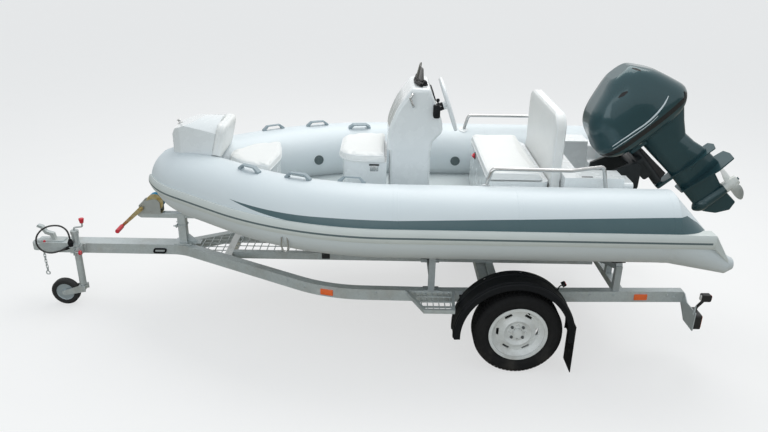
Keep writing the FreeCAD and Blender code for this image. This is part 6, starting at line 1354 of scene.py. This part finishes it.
# A U-bolt clamps the winch post, and a black grab loop is fixed to the drawbar's side.
post = [at(ahead, port, 606) for ahead, port in ((2336, 37), (2247, 37), (2247, -37), (2336, -37))]
bars("post_u_bolt", [post], 0.0045, "root", "galvanised_steel", bend=0.02)
clamp_plate = plate("clamp_plate", 100, 22, 5, 4, 1)
put("post_clamp_plate", clamp_plate, [standing(at(2310, 0, 606), (1, 0, 0))], "galvanised_steel")
nut = turned("nut", [(8.5, 0), (9.2, 1), (9.2, 6.5), (8.2, 8), (4.8, 8), (4.6, 12), (0, 12.4)], 6)
fasteners("post_nuts", nut, [standing(at(2315, port, 606), (1, 0, 0)) for port in (-37, 37)], "root",
          "galvanised_steel")
loop_place = standing(*seen(*GRAB_LOOP, "side_rails"))
corners = [loop_place @ Vector((x, y, 0.004)) for x, y in LOOP_CORNERS]
bars("drawbar_grab_loop", [corners], 0.0066, "root", "black_plastic", loop=True)

# %% [markdown]
# ## Screen foot and strake ends
# The smoked screen stands in a black rubber channel, which is laid along its foot by rays. At the
# stern the strake runs out along the cone: a taper carries its section down to the tip.

# %% Foot channel and tapers
for height, radius in ((0.012, 0.0105), (0.034, 0.0065)):
    feet = [on_screen(port, height)[0] for port in range(-160, 161, 20)]
    bars(f"screen_foot_{round(height * 1000)}", [feet], radius, "root", "black_plastic", BLACK_MATT,
         bend=0.004)


def taper_ring(share):
    """The strake's section, from the full block at 0 to a thin strip on the cone's tip at 1."""
    block = [(900, 921), (953, 921), (960.5, 928), (960.5, 996), (953, 1003.5), (900, 1003.5)]
    strip = [(50, -12), (59.5, -12), (61, -9), (61, 9), (59.5, 12), (50, 12)]
    lean = math.radians(38)
    ring = []
    for (port, up), (out, aside) in zip(block, strip):
        tip_port = 882 + out * math.cos(lean) - aside * math.sin(lean)
        tip_up = 802 + out * math.sin(lean) + aside * math.cos(lean)
        ring.append(at(-1045 - 106 * share, port + (tip_port - port) * share, up + (tip_up - up) * share))
    return ring


taper = loft("strake_taper", [taper_ring(k / 8) for k in range(9)])
put("strake_tapers", taper, both(Matrix()), "strake_rubber")

# %% [markdown]
# ## Bolts
# The frame is bolted together, and the mudguards are held by dome-headed bolts. These are only
# visible as small bright points, but they are what tells a frame from a bent strip. Each stands on
# the face that a ray finds there.

# %% Bolts
RAIL_BOLTS = ((1470, 440), (1350, 428), (885, 440), (575, 440), (535, 425), (130, 440),
              (170, 424), (-480, 440), (-640, 440), (-985, 440), (-1030, 424))
spots = []
for ahead, up in RAIL_BOLTS:
    spots += both(onto("side_rails", ahead, 1400, up, (0, -1, 0)))
bolt = turned("bolt", [(11, 0), (11, 1.6), (8.8, 1.6), (8.8, 7), (7.8, 8.2), (0, 8.2)], 6)
fasteners("rail_bolts", bolt, spots, "root", "galvanised_steel")
dome = turned("dome", [(9, 0), (9, 1.2), (7.5, 3.6), (4, 5.2), (0, 5.6)], 14)
places = []
for angle in (25, 60, 95, 130, 155):
    a = math.radians(angle)
    spot = at(30 + 600 * math.cos(a), 752, WHEEL_UP + 600 * math.sin(a))
    places += both(standing(*touch("mudguards", spot, (-math.cos(a), 0, -math.sin(a)))))
fasteners("mudguard_bolts", dome, places, "root", "stainless")

# %% [markdown]
# ## Trim of the outboard
# A bright strip runs up each side of the cowl over its black seal. A vent opens near the front, a
# catch sits on top and one at the back, and a guard for the trim ram stands behind the swivel
# bracket. A strip is a ribbon: rays find places on the cowl, and it follows the surface from one to
# the next.

# %% Ribbons on a surface
def ribbon(name, pixels, widths, solid, thick=0.0014, steps=5):
    """A thin strip laid on a solid, through pixels of the photograph, with a width at each."""
    stops = [seen(*pixel, solid) for pixel in pixels]
    places = [place for place, _ in stops]
    path, facings, wide = [], [], []
    for i in range(len(places) - 1):
        for k in range(steps):
            t = k / steps
            before, after = places[max(i - 1, 0)], places[min(i + 2, len(places) - 1)]
            slope_a, slope_b = (places[i + 1] - before) / 2, (after - places[i]) / 2
            guess = (places[i] * (2 * t ** 3 - 3 * t * t + 1) + slope_a * (t ** 3 - 2 * t * t + t)
                     + places[i + 1] * (3 * t * t - 2 * t ** 3) + slope_b * (t ** 3 - t * t))
            path.append(skin(solid).find_nearest(guess)[0])
            facings.append(stops[i][1].lerp(stops[i + 1][1], t).normalized())
            wide.append(widths[i] + (widths[i + 1] - widths[i]) * t)
    path.append(places[-1])
    facings.append(stops[-1][1])
    wide.append(widths[-1])
    rings = []
    for i, (place, out, width) in enumerate(zip(path, facings, wide)):
        way = (path[min(i + 1, len(path) - 1)] - path[max(i - 1, 0)]).normalized()
        aside = way.cross(out).normalized() * width / 2
        low, top = out * -0.002, out * thick
        rings.append([place - aside + low, place - aside * 0.9 + top,
                      place + aside * 0.9 + top, place + aside + low])
    return loft(name, rings)


def on_cowl(name, pixels, widths, slot, finish, **more):
    """A strip and its mirror on the cowl, which rides on the outboard."""
    mesh = ribbon(name, pixels, widths, "cowl", **more)
    return put(name, mesh, both(Matrix()), slot, finish, "outboard")


strip_widths = [0.004, 0.006, 0.008, 0.009, 0.010, 0.011, 0.012, 0.012, 0.010, 0.005]
line_widths = [0.003, 0.004, 0.005, 0.005, 0.005, 0.004, 0.003]
on_cowl("cowl_bright_strip", BRIGHT_STRIP, strip_widths, "stainless", SILVER)
on_cowl("cowl_thin_line", THIN_LINE, line_widths, "stainless", SILVER)
on_cowl("cowl_vent", COWL_VENT, [0.006, 0.026, 0.010], "engine_black", BLACK_MATT, steps=6)
on_cowl("cowl_top_catch", TOP_CATCH, [0.010, 0.018, 0.010], "engine_black", BLACK_MATT, thick=0.0008)
on_cowl("cowl_aft_catch", AFT_CATCH, [0.012, 0.024, 0.012], "engine_black", BLACK_MATT, thick=0.004)

# The trim ram's guard stands behind the swivel bracket. Its aft edge keeps inside the circle that
# the leg's front sweeps as it steers.
def on_engine(ahead, port, up):
    """A point in the outboard's own frame, in mm: ahead and up along the tilted leg."""
    return Vector((pivot.x + (ahead * math.cos(tilt) + up * math.sin(tilt)) / 1000, port / 1000,
                   pivot.z + (up * math.cos(tilt) - ahead * math.sin(tilt)) / 1000))


outline = [(-98, 22), (-116, 22), (-126, -69), (-138, -160), (-146, -226), (-98, -238)]
sides = [[on_engine(ahead, port, up) for ahead, up in outline] for port in (-21, 21)]
guard = loft("trim_ram_guard", sides)
put("trim_ram_guard", guard, [Matrix()], "engine_black", BLACK_MATT, "outboard_swivel")

# %% [markdown]
# ## The cable's ends
# Where the cable leaves its clip a short rubber sleeve takes the bending, thick at the clip and thin
# at its far end. It follows the cable's own line, read from the spline. At the other end the plug
# stands in its parking socket. The cable's whole length is seen.

# %% Strain relief
def sleeve_on_line(line, long, thick, thin, steps=16):
    """A ribbed sleeve along a line, with its length and the radii of its two ends in metres."""
    rings, covered = [], 0.0
    for i, place in enumerate(line[:-1]):
        way = (line[i + 1] - line[max(i - 1, 0)]).normalized()
        side = way.cross(Vector((0, 1, 0))).normalized()
        share = min(covered / long, 1.0)
        radius = thick + (thin - thick) * share
        for extra in (0.0, -0.0009):
            centre = place + way * (0.0012 if extra else 0)
            rings.append([centre + (side * math.cos(a) + way.cross(side) * math.sin(a)) * (radius + extra)
                          for a in full_turn(steps)])
        if share >= 1.0:
            break
        covered += (line[i + 1] - place).length
    return loft("cable_sleeve", rings)


fine_line = []
for a, b in zip(cable_path[:12], cable_path[1:13]):
    count = max(1, round((b - a).length / 0.0035))
    fine_line += [a.lerp(b, k / count) for k in range(count)]
relief = sleeve_on_line(fine_line, long=0.036, thick=0.0105, thin=0.0074)
cable_sleeve = put("cable_sleeve", relief, [Matrix()], "cable_rubber")
tuple(at(*CABLE_ROUTE[0]))

# %% [markdown]
# ## Floor and light
# The floor looks pale to the camera and keeps the shadow under the trailer. To every other ray it is
# a duller stone colour, so it doesn't brighten the hull from below. The world lights the boat with a
# pale blue, and shows white only to the camera, in mirrors and through glass. One broad lamp stands
# high over the far side, which gives the collar its bright shoulder and its darker flank, and a
# weaker one fills the near side.

# %% Floor, world and lamps
def slab_floor(size):
    """A square floor, which is part of the stage and not of the boat."""
    mesh = bpy.data.meshes.new("floor")
    corners = [(-size, -size, 0), (size, -size, 0), (size, size, 0), (-size, size, 0)]
    mesh.from_pydata(corners, [], [(0, 1, 2, 3)])
    thing = bpy.data.objects.new("floor", mesh)
    bpy.context.scene.collection.objects.link(thing)
    return thing


f = Finish("pale_floor")
camera_ray = Wire(f, f.tree.nodes.new("ShaderNodeLightPath").outputs["Is Camera Ray"])
patches = f.noise(3, 5, 0.6)
floor_tone = f.blend(f.blend((0.37, 0.35, 0.29), (0.41, 0.38, 0.32), patches),
                     f.blend((0.84, 0.84, 0.83), (0.88, 0.87, 0.86), patches), camera_ray)
floor = slab_floor(30)
floor.data.materials.append(f.done(floor_tone, 0.8))
glow = f.node("ShaderNodeEmission", None, {"Color": (1, 1, 1, 1), "Strength": 1.0})
shown_glow = f.node("ShaderNodeMixShader", None, {0: camera_ray * 0.60,
                                                  1: Wire(f, f.shader.outputs[0]), 2: glow})
end = [item for item in f.tree.nodes if item.type == "OUTPUT_MATERIAL"][0]
f.tree.links.new(shown_glow.socket, end.inputs[0])

world = bpy.data.worlds.new("studio")
bpy.context.scene.world = world
world.use_nodes = True
sky = Sheet(world.node_tree)
world.node_tree.nodes.clear()
rays = world.node_tree.nodes.new("ShaderNodeLightPath")
shown = Wire(sky, rays.outputs["Is Camera Ray"]).most(Wire(sky, rays.outputs["Is Glossy Ray"]))
shown = shown.most(Wire(sky, rays.outputs["Is Transmission Ray"]))
SKY_STRENGTH = 0.60  # what lights the boat; the white one is only seen
plain = sky.node("ShaderNodeBackground", None, {0: (0.80, 0.89, 0.95, 1), 1: SKY_STRENGTH})
white = sky.node("ShaderNodeBackground", None, {0: (1, 1, 1, 1), 1: 1.0})
mixed = sky.node("ShaderNodeMixShader", None, {0: shown, 1: plain, 2: white})
sky.node("ShaderNodeOutputWorld", None, {0: mixed})


def lamp(name, place, target, size, power, colour):
    """A rectangular lamp that looks at a target, with its power in watts."""
    data = bpy.data.lights.new(name, "AREA")
    data.shape = "RECTANGLE"
    data.size, data.size_y = size
    data.energy = power
    data.color = colour
    thing = bpy.data.objects.new(name, data)
    bpy.context.scene.collection.objects.link(thing)
    thing.matrix_world = (Vector(place) - Vector(target)).to_track_quat("Z", "Y").to_matrix().to_4x4()
    thing.location = place


lamp("high_key", place=(-1.0, -1.6, 5.5), target=(0, 0, 0.8), size=(5, 4), power=205,
     colour=(1.0, 0.985, 0.96))
lamp("low_fill", place=(1.5, 5.5, 2.6), target=(0, 0, 0.6), size=(5, 3), power=70,
     colour=(0.93, 0.97, 1.0))
bpy.context.scene.view_settings.view_transform = "Standard"
